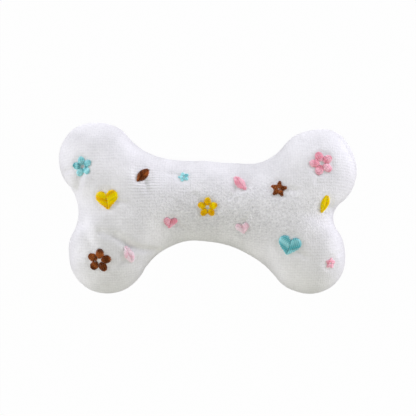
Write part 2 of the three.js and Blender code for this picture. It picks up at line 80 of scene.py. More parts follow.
metres_per_px = (cad_high.x - cad_low.x) / (toy_right_px - toy_left_px)
camera_distance = photo_width_px * metres_per_px * lens_mm / sensor_mm
lens = bpy.data.cameras.new("camera")
lens.lens = lens_mm
lens.sensor_width = sensor_mm
camera = bpy.data.objects.new("camera", lens)
camera.location = (
    (photo_width_px - toy_left_px - toy_right_px) / 2 * metres_per_px,
    (toy_top_px + toy_bottom_px - photo_width_px) / 2 * metres_per_px,
    seam_height + camera_distance,
)
bpy.context.scene.collection.objects.link(camera)
bpy.context.scene.camera = camera
bpy.context.scene.view_settings.view_transform = "Standard"


def colour(red, green, blue):
    """A colour as a screen shows it, 0 to 255, turned to the linear values that Blender uses."""
    shown = np.array([red, green, blue]) / 255
    linear = np.where(shown <= 0.04045, shown / 12.92, ((shown + 0.055) / 1.055) ** 2.4)
    return (*linear.tolist(), 1)


def add_node(tree, kind, inputs=None, **settings):
    """Adds a node. An input is given a value, or a socket to be linked to."""
    made = tree.nodes.new(kind)
    for key, value in settings.items():
        setattr(made, key, value)
    for key, value in (inputs or {}).items():
        if isinstance(value, bpy.types.NodeSocket):
            tree.links.new(value, made.inputs[key])
        else:
            made.inputs[key].default_value = value
    return made


def new_material(name):
    """A material with an empty node tree."""
    material = bpy.data.materials.new(name)
    material.use_nodes = True
    material.node_tree.nodes.clear()
    return material, material.node_tree


def calculate(tree, operation, *values):
    """A number worked out from numbers or sockets."""
    return add_node(tree, "ShaderNodeMath", dict(enumerate(values)), operation=operation).outputs[0]


def seen_directly(tree):
    """1 where the camera, a reflection or a clear piece looks straight at the surface."""
    path = add_node(tree, "ShaderNodeLightPath").outputs
    rays = calculate(tree, "MAXIMUM", path["Is Camera Ray"], path["Is Glossy Ray"])
    return calculate(tree, "MAXIMUM", rays, path["Is Transmission Ray"])


# The floor is white to the camera, takes a part of the toy's shadow, and is clear from below
floor_half_size = 3.0
floor_drop = 0.0001
floor_whiteness_share = 0.985
floor_material, tree = new_material("studio_floor")
paper = add_node(tree, "ShaderNodeBsdfDiffuse", {"Color": colour(150, 150, 146)})
glow = add_node(tree, "ShaderNodeEmission", {"Color": colour(255, 255, 255), "Strength": 1.0})
share = calculate(tree, "MULTIPLY", seen_directly(tree), floor_whiteness_share)
mixed = {0: share, 1: paper.outputs[0], 2: glow.outputs[0]}
top = add_node(tree, "ShaderNodeMixShader", mixed)
underside = add_node(tree, "ShaderNodeNewGeometry").outputs["Backfacing"]
clear = add_node(tree, "ShaderNodeBsdfTransparent")
surface = add_node(tree, "ShaderNodeMixShader", {0: underside, 1: top.outputs[0], 2: clear.outputs[0]})
add_node(tree, "ShaderNodeOutputMaterial", {"Surface": surface.outputs[0]})

floor_mesh = bpy.data.meshes.new("floor")
floor_corners = [
    (x * floor_half_size, y * floor_half_size, -floor_drop)
    for x, y in ((-1, -1), (1, -1), (1, 1), (-1, 1))
]
floor_mesh.from_pydata(floor_corners, [], [(0, 1, 2, 3)])
floor_mesh.materials.append(floor_material)
floor = bpy.data.objects.new("floor", floor_mesh)
bpy.context.scene.collection.objects.link(floor)

# The world is a pale room, and pure white to the camera
room_strength = 0.51
world = bpy.data.worlds.new("room")
bpy.context.scene.world = world
world.use_nodes = True
tree = world.node_tree
tree.nodes.clear()
room = add_node(tree, "ShaderNodeBackground", {"Color": colour(250, 250, 255), "Strength": room_strength})
white = add_node(tree, "ShaderNodeBackground", {"Color": colour(255, 255, 255), "Strength": 1.0})
mixed = {0: seen_directly(tree), 1: room.outputs[0], 2: white.outputs[0]}
surface = add_node(tree, "ShaderNodeMixShader", mixed)
add_node(tree, "ShaderNodeOutputWorld", {"Surface": surface.outputs[0]})

lamp_distance = 0.9
lamp_width = 0.9
lamp_height = 0.36


def softbox(name, azimuth, elevation, power, tint):
    """A wide soft light that faces the toy from a compass azimuth and an elevation, in degrees."""
    lamp = bpy.data.lights.new(name, "AREA")
    lamp.shape = "RECTANGLE"
    lamp.size = lamp_width
    lamp.size_y = lamp_height
    lamp.energy = power
    lamp.color = tint[:3]
    box = bpy.data.objects.new(name, lamp)
    across, up = math.radians(azimuth), math.radians(elevation)
    way = Vector((math.sin(across) * math.cos(up), math.cos(across) * math.cos(up), math.sin(up)))
    box.location = way * lamp_distance
    box.rotation_euler = way.to_track_quat("Z", "Y").to_euler()
    bpy.context.scene.collection.objects.link(box)


softbox("far_light", 0, 8, 1.3, colour(250, 252, 255))
softbox("left_light", -70, 10, 6.5, colour(242, 240, 255))
softbox("right_light", 60, 10, 8.0, colour(240, 237, 255))
softbox("near_light", 180, 32, 2.3, colour(255, 253, 232))


# Velour panels: a front and a back panel of short-pile velour, embroidered, sewn together
# inside out round the edge, turned, and stuffed until the cloth is tight. The seam lies in
# a shallow groove. A place in the plan is written as a complex number, x + yj.
top_left_lobe = (-0.0525 + 0.023j, 0.01775)
bottom_left_lobe = (-0.047 - 0.021j, 0.019)
top_right_lobe = (0.051 + 0.018j, 0.01925)
bottom_right_lobe = (0.0475 - 0.0225j, 0.01775)
top_edge_start = -0.0115 + 0.02275j
top_edge_end = 0.0195 + 0.0215j
arch_top = -0.0055 - 0.0155j
left_notch_radius = 0.021
right_notch_radius = 0.010
shaft_half_thickness = 0.0145
end_half_thickness = 0.017
shaft_level_reach = 0.006
end_reach = 0.036
spine_reach = 0.041
spine_end_snap = 0.0015
shaft_power = 2
wide_power_share = 0.9
lobe_steps = 80
shaft_steps = 96
notch_steps = 16
ring_steps = 40


def waist_arc(lobe, edge, side):
    """The round waist that touches a lobe and runs level through a point of the shaft's edge."""
    centre, radius = lobe
    run = edge - centre
    waist_radius = (abs(run) ** 2 - radius**2) / (2 * (radius - run.imag * side))
    return edge + side * waist_radius * 1j, waist_radius


def notch_arc(upper, lower, radius, side):
    """The notch between the two lobes of one end, which touches both."""
    distance = abs(lower[0] - upper[0])
    along = (lower[0] - upper[0]) / distance
    outward = along * 1j * math.copysign(1, (along * 1j).real * side)
    upper_reach = upper[1] + radius
    lower_reach = lower[1] + radius
    foot = (upper_reach**2 - lower_reach**2 + distance**2) / (2 * distance)
    return upper[0] + along * foot + outward * math.sqrt(upper_reach**2 - foot**2), radius


def touch_point(first, second):
    return first[0] + (second[0] - first[0]) * first[1] / (first[1] + second[1])


def arc_points(circle, start, end, clockwise, steps):
    first = cmath.phase(start - circle[0])
    sweep = (cmath.phase(end - circle[0]) - first) % (2 * math.pi)
    if clockwise:
        sweep -= 2 * math.pi
    return circle[0] + circle[1] * np.exp(1j * (first + sweep * np.linspace(0, 1, steps + 1)))


def spaced_points(line, steps):
    """Points at even spacing along a line of points."""
    length = np.concatenate([[0], np.cumsum(np.abs(np.diff(line)))])
    return np.interp(np.linspace(0, length[-1], steps + 1), length, line)


def point_toward(circle, target):
    """The point of a circle on the side of a target."""
    way = target - circle[0]
    return circle[0] + way / abs(way) * circle[1]


shaft_middle = ((top_edge_start + top_edge_end) / 2 + arch_top) / 2
left_end = -spine_reach + (top_left_lobe[0] + bottom_left_lobe[0]).imag / 2 * 1j
right_end = spine_reach + (top_right_lobe[0] + bottom_right_lobe[0]).imag / 2 * 1j
left_notch = notch_arc(top_left_lobe, bottom_left_lobe, left_notch_radius, -1)
right_notch = notch_arc(top_right_lobe, bottom_right_lobe, right_notch_radius, 1)
left_notch_point = point_toward(left_notch, left_end)
right_notch_point = point_toward(right_notch, right_end)


def outline_run(left_lobe, right_lobe, shaft_start, shaft_end, side):
    """One long edge of the toy, from the left notch to the right one."""
    clockwise = side > 0
    left_waist = waist_arc(left_lobe, shaft_start, side)
    right_waist = waist_arc(right_lobe, shaft_end, side)
    lobe_start = touch_point(left_lobe, left_notch)
    lobe_end = touch_point(left_lobe, left_waist)
    far_lobe_start = touch_point(right_lobe, right_waist)
    far_lobe_end = touch_point(right_lobe, right_notch)
    near_waist = arc_points(left_waist, lobe_end, shaft_start, not clockwise, shaft_steps)
    far_waist = arc_points(right_waist, shaft_end, far_lobe_start, not clockwise, shaft_steps)
    stretches = [
        arc_points(left_notch, left_notch_point, lobe_start, not clockwise, notch_steps),
        arc_points(left_lobe, lobe_start, lobe_end, clockwise, lobe_steps),
        spaced_points(np.concatenate([near_waist, far_waist]), shaft_steps),
        arc_points(right_lobe, far_lobe_start, far_lobe_end, clockwise, lobe_steps),
        arc_points(right_notch, far_lobe_end, right_notch_point, not clockwise, notch_steps),
    ]
    return np.concatenate([line[:-1] for line in stretches] + [[right_notch_point]])


upper_run = outline_run(top_left_lobe, top_right_lobe, top_edge_start, top_edge_end, 1)
lower_run = outline_run(bottom_left_lobe, bottom_right_lobe, arch_top, arch_top, -1)
tips = np.concatenate([upper_run, lower_run[-2:0:-1]])
partners = np.concatenate([lower_run, upper_run[-2:0:-1]])

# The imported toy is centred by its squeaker, which sits under the middle of the shaft
squeaker_low, squeaker_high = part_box("squeaker_bladder")
squeaker_spot = (squeaker_low + squeaker_high) / 2
centring = complex(squeaker_spot.x, squeaker_spot.y) - shaft_middle

# Stuffing swells the soft edge a little in places and leaves it slack in others, and each
# place is written as a photographed pixel
swell_px = np.array(
    [(124, 135), (203, 161), (333, 134), (337, 231), (346, 254), (332, 286), (280, 281), (68, 257), (72, 132)]
)
swells = (0.0007, 0.0008, 0.0011, 0.0006, -0.0006, 0.0005, 0.0005, -0.0009, 0.0004)
swell_reach = 0.007


def plan_of(places_px, height):
    """Where pixels of the photograph lie in the plan, on a part of the toy at this height."""
    away_px = places_px - photo_width_px / 2
    nearness_share = (camera.location.z - height) / camera_distance
    return np.array(camera.location[:2]) + away_px * (metres_per_px, -metres_per_px) * nearness_share


edge_way = np.roll(tips, -1) - np.roll(tips, 1)
edge_outward = 1j * edge_way / abs(edge_way)
for place, swell in zip(plan_of(swell_px, seam_height), swells):
    away = abs(tips + centring - complex(*place))
    tips = tips + edge_outward * swell * np.exp(-((away / swell_reach) ** 2))

# Ribs run from the spine to the outline, and the cloth is domed along each of them
spine_turn = np.clip((tips + partners).real / 2 / spine_reach, -math.pi / 2, math.pi / 2)
root_x = spine_reach * np.sin(spine_turn)
root_x = np.where(spine_reach - abs(root_x) < spine_end_snap, spine_reach * np.sign(root_x), root_x)
end_y = np.where(root_x < 0, left_end.imag, right_end.imag)
root_y = shaft_middle.imag + (end_y - shaft_middle.imag) * (root_x / spine_reach) ** 2
roots = root_x + root_y * 1j
reaches = tips - roots
shaft_rib = (top_edge_start + top_edge_end).imag / 2 - shaft_middle.imag
powers = shaft_power + wide_power_share * np.clip(abs(reaches) / shaft_rib - 1, 0, None)
fill = np.clip((abs(root_x) - shaft_level_reach) / (end_reach - shaft_level_reach), 0, 1)
half_thickness = shaft_half_thickness + (end_half_thickness - shaft_half_thickness) * fill**2 * (3 - 2 * fill)

ring_shares = np.sin(np.linspace(0, math.pi / 2, ring_steps + 1))[:, None]
rises = half_thickness * np.sqrt(np.clip(1 - ring_shares**powers, 0, None))
plan = roots + centring + reaches * ring_shares
rib_steps = np.hypot(np.diff(abs(reaches) * ring_shares, axis=0), np.diff(rises, axis=0))
rib_lengths = np.concatenate([np.zeros((1, len(tips))), np.cumsum(rib_steps, axis=0)])
cut_plan = roots + centring + reaches / abs(reaches) * rib_lengths
dome_points = np.stack([plan.real, plan.imag, rises], axis=2).reshape(-1, 3)
cut_points = np.stack([cut_plan.real, cut_plan.imag, np.zeros_like(rises)], axis=2).reshape(-1, 3)


def ring_faces(rings, count, closed=False):
    """The four-cornered faces between rings of count points each, one ring after another."""
    corner = np.arange(count)
    after = (corner + 1) % count
    inner = np.arange(rings if closed else rings - 1)[:, None] * count
    outer = (inner + count) % (rings * count)
    return np.stack([inner + corner, inner + after, outer + after, outer + corner], axis=2).reshape(-1, 4)


def mesh_piece(name, points, faces=(), edges=()):
    mesh = bpy.data.meshes.new(name)
    mesh.from_pydata(np.asarray(points).tolist(), np.asarray(edges).tolist(), np.asarray(faces).tolist())
    piece = bpy.data.objects.new(name, mesh)
    bpy.context.scene.collection.objects.link(piece)
    return piece


def settle(piece):
    """Makes what the piece's modifiers show its own plain mesh."""
    graph = bpy.context.evaluated_depsgraph_get()
    shown = piece.evaluated_get(graph)
    made = bpy.data.meshes.new_from_object(shown, preserve_all_data_layers=True, depsgraph=graph)
    piece.modifiers.clear()
    piece.data = made
    made.name = piece.name


def points_of(piece):
    points = np.empty(len(piece.data.vertices) * 3)
    piece.data.vertices.foreach_get("co", points)
    return points.reshape(-1, 3)


def normals_of(piece):
    normals = np.empty(len(piece.data.vertices) * 3)
    piece.data.vertex_normals.foreach_get("vector", normals)
    return normals.reshape(-1, 3)


def move_points(piece, points):
    piece.data.vertices.foreach_set("co", points.ravel())
    piece.data.update()


# The seam wanders a little above and below its even height, and rolls to the front at one lobe
seam_wander = 0.0006
seam_wander_turns = 5
front_roll = 0.005
front_roll_reach = 0.022
front_roll_spot = np.array([0.0655, 0.0265])


def fade(values, near, far):
    """1 up to near, 0 from far on, and smooth between them."""
    share = np.clip((far - values) / (far - near), 0, 1)
    return share * share * (3 - 2 * share)


def seam_rise(points):
    """How far the seam runs above its even height at these places in the plan."""
    turn = np.arctan2(points[:, 1], points[:, 0])
    away = np.linalg.norm(points[:, :2] - front_roll_spot, axis=1)
    return seam_wander * np.sin(seam_wander_turns * turn) + front_roll * fade(away, 0, front_roll_reach)


# The even cloth: the domes' outline and swell in square patches, cut round at the seam
cloth_patch = 0.0014
seam_snap = 0.0003
weld_reach = 1e-6
upright = np.array([0, 0, 1])
front_points = dome_points + upright * seam_height
back_points = dome_points * (1, 1, -1) + upright * seam_height
dome_faces = ring_faces(ring_steps + 1, len(tips))
body_faces = np.concatenate([dome_faces, dome_faces + len(dome_points)])
cloth = mesh_piece("cloth", np.concatenate([front_points, back_points]), body_faces)
editing = bmesh.new()
editing.from_mesh(cloth.data)
bmesh.ops.remove_doubles(editing, verts=editing.verts, dist=weld_reach)
bmesh.ops.dissolve_degenerate(editing, edges=editing.edges, dist=weld_reach)
bmesh.ops.recalc_face_normals(editing, faces=editing.faces)
editing.to_mesh(cloth.data)
editing.free()
cloth_shape = BVHTree.FromObject(cloth, bpy.context.evaluated_depsgraph_get())
remesh = cloth.modifiers.new("even_patches", "REMESH")
remesh.mode = "VOXEL"
remesh.voxel_size = cloth_patch
settle(cloth)
points = points_of(cloth)
points[:, 2] -= seam_rise(points)
move_points(cloth, points)
editing = bmesh.new()
editing.from_mesh(cloth.data)
everything = editing.verts[:] + editing.edges[:] + editing.faces[:]
seam_point = (0, 0, seam_height)
bmesh.ops.bisect_plane(editing, geom=everything, dist=seam_snap, plane_co=seam_point, plane_no=upright)
on_seam = editing.verts.layers.int.new("on_seam")
is_front = editing.faces.layers.int.new("is_front")
for vertex in editing.verts:
    vertex[on_seam] = abs(vertex.co.z - seam_height) < seam_snap
for face in editing.faces:
    face[is_front] = face.calc_center_median().z > seam_height
for vertex in editing.verts:
    seam_there = seam_height + seam_rise(np.array([vertex.co]))[0]
    vertex.co.z += seam_there - seam_height
    vertex.co = cloth_shape.find_nearest(vertex.co)[0]
    if vertex[on_seam]:
        vertex.co.z = seam_there
editing.to_mesh(cloth.data)
editing.free()

# Stuffing presses the cloth out while the seam holds it. The panels are cut a little larger
# than the finished shape, most of all near the seam, so the cloth puckers where the seam
# gathers it. The pressing is worked out on a model ten times the size.
slack_share = 0.965
even_gather_share = 0.006
seam_gather_share = 0.032
seam_gather_width = 0.007
stuffing_pressure = 3.0
swell_limit = 0.0013
least_move = 1e-9
cloth_stiffness = 20
cloth_bending = 1.5
pressing_quality = 6
pressing_frames = 24
model_scale = 10


def press_out(cloth):
    """Blows the cloth out against its seam and gives back how far each point moved."""
    model = cloth.copy()
    model.data = cloth.data.copy()
    bpy.context.scene.collection.objects.link(model)
    start = points_of(cloth)
    from_seam = abs(start[:, 2] - seam_height - seam_rise(start))
    marks = model.data.attributes["on_seam"].data
    seam_points = [point for point, mark in enumerate(marks) if mark.value]
    move_points(model, start * model_scale)
    held = model.vertex_groups.new(name="held_by_seam")
    held.add(seam_points, 1, "REPLACE")
    gathered = model.vertex_groups.new(name="gathered")
    for point, height in enumerate(from_seam):
        gathered.add([point], math.exp(-((height / seam_gather_width) ** 2)), "REPLACE")
    pressed = model.modifiers.new("pressed_out", "CLOTH")
    pressed.point_cache.frame_start = 1
    pressed.point_cache.frame_end = pressing_frames
    cloth_rules = pressed.settings
    cloth_rules.vertex_group_mass = held.name
    cloth_rules.vertex_group_shrink = gathered.name
    cloth_rules.shrink_min = -even_gather_share
    cloth_rules.shrink_max = -seam_gather_share
    cloth_rules.use_pressure = True
    cloth_rules.uniform_pressure_force = stuffing_pressure
    cloth_rules.tension_stiffness = cloth_stiffness
    cloth_rules.compression_stiffness = cloth_stiffness
    cloth_rules.bending_stiffness = cloth_bending
    cloth_rules.effector_weights.gravity = 0
    cloth_rules.quality = pressing_quality
    for step in range(1, pressing_frames + 1):
        bpy.context.scene.frame_set(step)
    settle(model)
    moved = points_of(model) / model_scale - start
    bpy.context.scene.frame_set(1)
    bpy.data.objects.remove(model)
    return moved


slack = points_of(cloth)
slack[:, 2] = seam_height + (slack[:, 2] - seam_height) * slack_share
move_points(cloth, slack)
moved = press_out(cloth)
distance = np.maximum(np.linalg.norm(moved, axis=1, keepdims=True), least_move)
move_points(cloth, slack + moved * swell_limit * np.tanh(distance / swell_limit) / distance)

# Where each motif lies: its middle, the way it faces, the way its tip points, and its radius
corner_digits = 7
motif_places = {}
for node_name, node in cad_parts.items():
    if node_name.startswith(("front_", "back_")) and node_name[-2:].isdigit():
        corners = np.unique(np.round(points_of(node), corner_digits), axis=0)
        middle = corners.mean(axis=0)
        facing = np.linalg.svd(corners - middle)[2][2]
        if facing[2] * (1 if node_name.startswith("front_") else -1) < 0:
            facing = -facing
        spokes = corners - middle
        spokes -= np.outer(spokes @ facing, facing)
        radius = np.linalg.norm(spokes, axis=1).max()
        tip = spokes[np.argmax(np.linalg.norm(spokes, axis=1))] / radius
        motif_places[node_name] = (middle, facing, tip, radius)

# How the finished cloth departs from an even skin
seam_groove_depth = 0.0008
seam_groove_width = 0.0011
seam_gap = 0.00015
motif_dip = 0.0004
motif_dip_edge = 0.0016
lump_height = 0.00035
lump_size = 0.011
pile_height = 0.00007
pile_grain = 0.0013
cloth_wall = 0.0014
turned_in_width = 0.0045
turned_in_steps = 3

# Folds that show in the cloth of the front, each from one photographed pixel to another
fold_starts_px = np.array([(101, 232), (116, 236), (124, 241), (131, 246), (143, 250), (83, 165), (83, 227)])
fold_ends_px = np.array([(116, 236), (124, 241), (131, 246), (143, 250), (157, 252), (77, 189), (91, 245)])
fold_depths = (0.0008, 0.0013, 0.0017, 0.0016, 0.0015, 0.0010, 0.0010)
fold_widths = (0.0019, 0.0019, 0.0019, 0.0017, 0.0015, 0.0019, 0.0027)
fold_height = 0.03
fold_starts = plan_of(fold_starts_px, fold_height)
fold_ends = plan_of(fold_ends_px, fold_height)

# Tight stitches also draw a short crease into the cloth beside each motif
crease_length = 0.0035
crease_depth = 0.0005
crease_width = 0.0012
crease_chance = np.random.default_rng(4)
creases = {1: [], -1: []}
for node_name, (middle, _, _, radius) in motif_places.items():
    way = crease_chance.uniform(0, 2 * np.pi)
    way = np.array([math.cos(way), math.sin(way)])
    side = 1 if node_name.startswith("front_") else -1
    crease_start = middle[:2] + way * radius / 2
    crease_end = middle[:2] + way * (radius + crease_length)
    creases[side].append((crease_start, crease_end, crease_depth, crease_width))
creases[1] += list(zip(fold_starts, fold_ends, fold_depths, fold_widths))


def fold_depth(points, side):
    depth = np.zeros(len(points))
    for start, end, deepest, width in creases[side]:
        along = end - start
        share = np.clip((points[:, :2] - start) @ along / (along @ along), 0, 1)
        aside = np.linalg.norm(points[:, :2] - start - share[:, None] * along, axis=1)
        depth = np.maximum(depth, deepest * np.exp(-((aside / width) ** 2)))
    return depth * fade(-side * (points[:, 2] - seam_height), -end_half_thickness / 2, 0)


def rough(points, grain):
    """Smooth noise between -1 and 1 whose bumps are about one grain wide."""
    return np.array([noise.noise(Vector(point)) for point in points / grain])


def dress_cloth(piece, side):
    """Gives one panel its seam groove, drawn-in embroidery, folds, lumps and pile."""
    points = points_of(piece)
    outward = normals_of(piece)
    above_seam = points[:, 2] - seam_height - seam_rise(points)
    depth = seam_groove_depth * np.exp(-((above_seam / seam_groove_width) ** 2))
    for middle, _, _, radius in motif_places.values():
        away = np.linalg.norm(points - middle, axis=1)
        depth += motif_dip * fade(away, radius - motif_dip_edge / 2, radius + motif_dip_edge)
    depth += fold_depth(points, side)
    depth -= lump_height * rough(points, lump_size) + pile_height * rough(points, pile_grain)
    points -= outward * depth[:, None]
    points[:, 2] += side * seam_gap * fade(abs(above_seam), 0, seam_groove_width * 2)
    points[:, 2] = np.maximum(points[:, 2], 0)
    move_points(piece, points)


# The cut cloth lies flat in a UV map, so the knit rows keep their spacing over the dome
least_area = 1e-12
dome_triangles = np.concatenate([dome_faces[:, [0, 1, 2]], dome_faces[:, [0, 2, 3]]])
edges_one = dome_points[dome_triangles[:, 1]] - dome_points[dome_triangles[:, 0]]
edges_two = dome_points[dome_triangles[:, 2]] - dome_points[dome_triangles[:, 0]]
dome_triangles = dome_triangles[np.linalg.norm(np.cross(edges_one, edges_two), axis=1) > least_area]
dome_shape = BVHTree.FromPolygons(dome_points.tolist(), dome_triangles.tolist(), all_triangles=True)


def map_cut(piece):
    """Writes each point's place in the flat cut panel to a UV map."""
    places = np.empty((len(piece.data.vertices), 2))
    for number, point in enumerate(points_of(piece) - upright * seam_height):
        spot, _, face, _ = dome_shape.find_nearest(Vector((point[0], point[1], abs(point[2]))))
        corners = dome_triangles[face]
        domed = [Vector(dome_points[corner]) for corner in corners]
        flat = [Vector(cut_points[corner]) for corner in corners]
        places[number] = barycentric_transform(spot, *domed, *flat)[:2]
    loops = np.empty(len(piece.data.loops), dtype=int)
    piece.data.loops.foreach_get("vertex_index", loops)
    layer = piece.data.uv_layers.new(name="cut_cloth")
    layer.data.foreach_set("uv", places[loops].ravel())


def order_of(part, count):
    """A number that only this edge or face has, from its first three points."""
    first_points = sorted(vertex.index for vertex in part.verts)[:3]
    return float(sum(point * count**place for place, point in enumerate(first_points)))


def turn_in(piece, side):
    """Turns the cut edge of a panel inwards, level with the seam."""
    editing = bmesh.new()
    editing.from_mesh(piece.data)
    edges = [edge for edge in editing.edges if edge.is_boundary]
    for _ in range(turned_in_steps):
        made = bmesh.ops.extrude_edge_only(editing, edges=edges)["geom"]
        edges = [part for part in made if isinstance(part, bmesh.types.BMEdge)]
        edges = [edge for edge in edges if edge.is_boundary]
        rim = {vertex for edge in edges for vertex in edge.verts}
        moves = {}
        for vertex in rim:
            beside = [edge.other_vert(vertex).co for edge in vertex.link_edges if edge.is_boundary]
            along = beside[0] - beside[1]
            inward = Vector((-along.y, along.x, 0)).normalized()
            toward_spine = Vector((np.clip(vertex.co.x, -spine_reach, spine_reach), 0, 0)) - vertex.co
            if inward.dot(toward_spine) < 0:
                inward.negate()
            moves[vertex] = inward * turned_in_width / turned_in_steps
        for vertex, move in moves.items():
            vertex.co += move
    # Blender turns the edges in in no fixed order, so the parts are put in one
    editing.verts.index_update()
    for parts in (editing.edges, editing.faces):
        parts.sort(key=lambda part: order_of(part, len(editing.verts)))
    bmesh.ops.recalc_face_normals(editing, faces=editing.faces)
    highest = max(editing.faces, key=lambda face: side * face.calc_center_median().z)
    if highest.normal.z * side < 0:
        bmesh.ops.reverse_faces(editing, faces=editing.faces)
    editing.to_mesh(piece.data)
    editing.free()


# Velour: short pile with faint knit rows and wales, clearest where the pile is parted, and
# brighter where it is seen edge on
knit_row_pitch = 0.0014
wale_pitch = 0.0011
wale_share = 0.035
row_shares = (0.02, 0.065)
row_patch = 0.03
row_wander = 0.0012
row_wander_patch = 0.01
parted_row_share = 0.26
parted_px = np.array([144, 182])
parted_radius = 0.012
pile_tuft = 0.00095
pile_depth = 0.0008
ruffled_middle = (0.014, -0.002, 0)
ruffled_slimness = (0.3, 1, 0)
ruffled_reach = 0.02
ruffled_share = 1.6
smooth_share = 0.42
tone_drift = 0.012
plain_noise = (1.0, 0.5)
drift_noise = (2.0, 0.5)
pile_noise = (3.0, 0.7)
row_patch_edges = (0.4, 0.6)
middle_noise = 0.5
knit_weight = 0.5
drift_weight = 0.5
tone_ends = (-0.05, 0.45)
pile_bump = 0.8
velour, tree = new_material("velour")
place = add_node(tree, "ShaderNodeTexCoord").outputs
flat = add_node(tree, "ShaderNodeSeparateXYZ", {0: place["UV"]})


def calculate_place(tree, operation, *values, gives="Vector"):
    """A place worked out from places or sockets, or a number where it gives a Value."""
    made = add_node(tree, "ShaderNodeVectorMath", dict(enumerate(values)), operation=operation)
    return made.outputs[gives]


def spread(tree, value, start, end, low=0.0, high=1.0, **settings):
    """Takes a value that runs from start to end to one that runs from low to high."""
    ranges = {"Value": value, "From Min": start, "From Max": end, "To Min": low, "To Max": high}
    return add_node(tree, "ShaderNodeMapRange", ranges, **settings).outputs[0]


def two_tones(tree, tone, dark, light, start=0.0, end=1.0):
    """A colour that goes from dark to light as the tone goes from start to end."""
    ramp = add_node(tree, "ShaderNodeValToRGB", {"Fac": tone})
    for stop, position, shade in zip(ramp.color_ramp.elements, (start, end), (dark, light)):
        stop.position = position
        stop.color = shade
    return ramp.outputs["Color"]


def relief(tree, height, strength, distance):
    """A surface that looks raised where height is more."""
    bump = {"Height": height, "Strength": strength, "Distance": distance}
    return add_node(tree, "ShaderNodeBump", bump).outputs["Normal"]


def finish_material(tree, shader):
    """Gives the material one surface, with these shader inputs."""
    surface = add_node(tree, "ShaderNodeBsdfPrincipled", shader)
    add_node(tree, "ShaderNodeOutputMaterial", {"Surface": surface.outputs[0]})


def cloth_noise(size, detail, roughness):
    """Noise over the cloth, from 0 to 1, whose bumps are about one size wide."""
    grains = {"Vector": place["Object"], "Scale": 1 / size, "Detail": detail, "Roughness": roughness}
    return add_node(tree, "ShaderNodeTexNoise", grains).outputs[0]


def cloth_lines(across, pitch):
    """Waves between -1 and 1 over the flat cut cloth."""
    return calculate(tree, "SINE", calculate(tree, "MULTIPLY", across, 2 * math.pi / pitch))


parted_at = (*plan_of(parted_px, fold_height).tolist(), seam_height + shaft_half_thickness)
away = calculate_place(tree, "DISTANCE", place["Object"], parted_at, gives="Value")
smooth = {"interpolation_type": "SMOOTHSTEP"}
parted = spread(tree, away, 0.0, parted_radius, parted_row_share, 0.0, **smooth)
where = spread(tree, cloth_noise(row_patch, *plain_noise), *row_patch_edges, *row_shares)
where = calculate(tree, "ADD", where, parted)
wander = cloth_noise(row_wander_patch, *plain_noise)
row_place = calculate(tree, "MULTIPLY_ADD", wander, row_wander, flat.outputs["Y"])
wales = calculate(tree, "MULTIPLY", cloth_lines(flat.outputs["X"], wale_pitch), wale_share)
knit = calculate(tree, "MULTIPLY_ADD", cloth_lines(row_place, knit_row_pitch), where, wales)
away = calculate_place(tree, "SUBTRACT", place["Object"], ruffled_middle)
away = calculate_place(tree, "MULTIPLY", away, ruffled_slimness)
away = calculate_place(tree, "LENGTH", away, gives="Value")
ruffle = spread(tree, away, 0.0, ruffled_reach, ruffled_share, smooth_share, **smooth)
pile = calculate(tree, "SUBTRACT", cloth_noise(pile_tuft, *pile_noise), middle_noise)
pile = calculate(tree, "MULTIPLY", pile, ruffle)
pile_tone = calculate(tree, "MULTIPLY_ADD", knit, knit_weight, pile)
drift = cloth_noise(tone_drift, *drift_noise)
tone = spread(tree, calculate(tree, "MULTIPLY_ADD", drift, drift_weight, pile_tone), *tone_ends)
cloth_shader = {
    "Base Color": two_tones(tree, tone, colour(206, 206, 203), colour(246, 246, 243)),
    "Normal": relief(tree, pile_tone, pile_bump, pile_depth),
    "Roughness": 0.95,
    "Specular IOR Level": 0.15,
    "Sheen Weight": 0.5,
    "Sheen Roughness": 0.45,
}
finish_material(tree, cloth_shader)


def cut_half(side):
    """One panel's points and faces, from the cloth on its side of the seam."""
    editing = bmesh.new()
    editing.from_mesh(cloth.data)
    is_front = editing.faces.layers.int["is_front"]
    across = [face for face in editing.faces if bool(face[is_front]) != (side > 0)]
    bmesh.ops.delete(editing, geom=across, context="FACES")
    half = bpy.data.meshes.new("half")
    editing.to_mesh(half)
    editing.free()
    return half


def stand_for(piece, body, node_name):
    """The piece rides on a body and stands for a CAD node."""
    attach(piece, body)
    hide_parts(node_name)


def join_toy(piece, node_name):
    """The piece stands for a CAD node and goes with the toy, on a mesh of its own."""
    stand_for(piece, "toy", node_name)
    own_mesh(piece)


def thicken(piece, thickness, offset):
    """Gives a sheet its wall and makes it one smooth mesh."""
    wall = piece.modifiers.new("wall", "SOLIDIFY")
    wall.thickness = thickness
    wall.offset = offset
    settle(piece)
    piece.data.shade_smooth()


def divide(piece):
    """Divides each face once more, into a smoother mesh."""
    finer = piece.modifiers.new("finer", "SUBSURF")
    finer.levels = finer.render_levels = 1
    settle(piece)


def make_panel(name, side, node_name):
    panel = bpy.data.objects.new(name, cut_half(side))
    panel.data.name = name
    bpy.context.scene.collection.objects.link(panel)
    divide(panel)
    dress_cloth(panel, side)
    outer_skin = BVHTree.FromObject(panel, bpy.context.evaluated_depsgraph_get())
    map_cut(panel)
    turn_in(panel, side)
    thicken(panel, cloth_wall, -1)
    panel.data.materials.clear()
    panel.data.materials.append(velour)
    join_toy(panel, node_name)
    return panel, outer_skin


front_velour, front_skin = make_panel("front_velour", 1, "front_panel")
back_velour, back_skin = make_panel("back_velour", -1, "back_panel")
bpy.data.objects.remove(cloth)


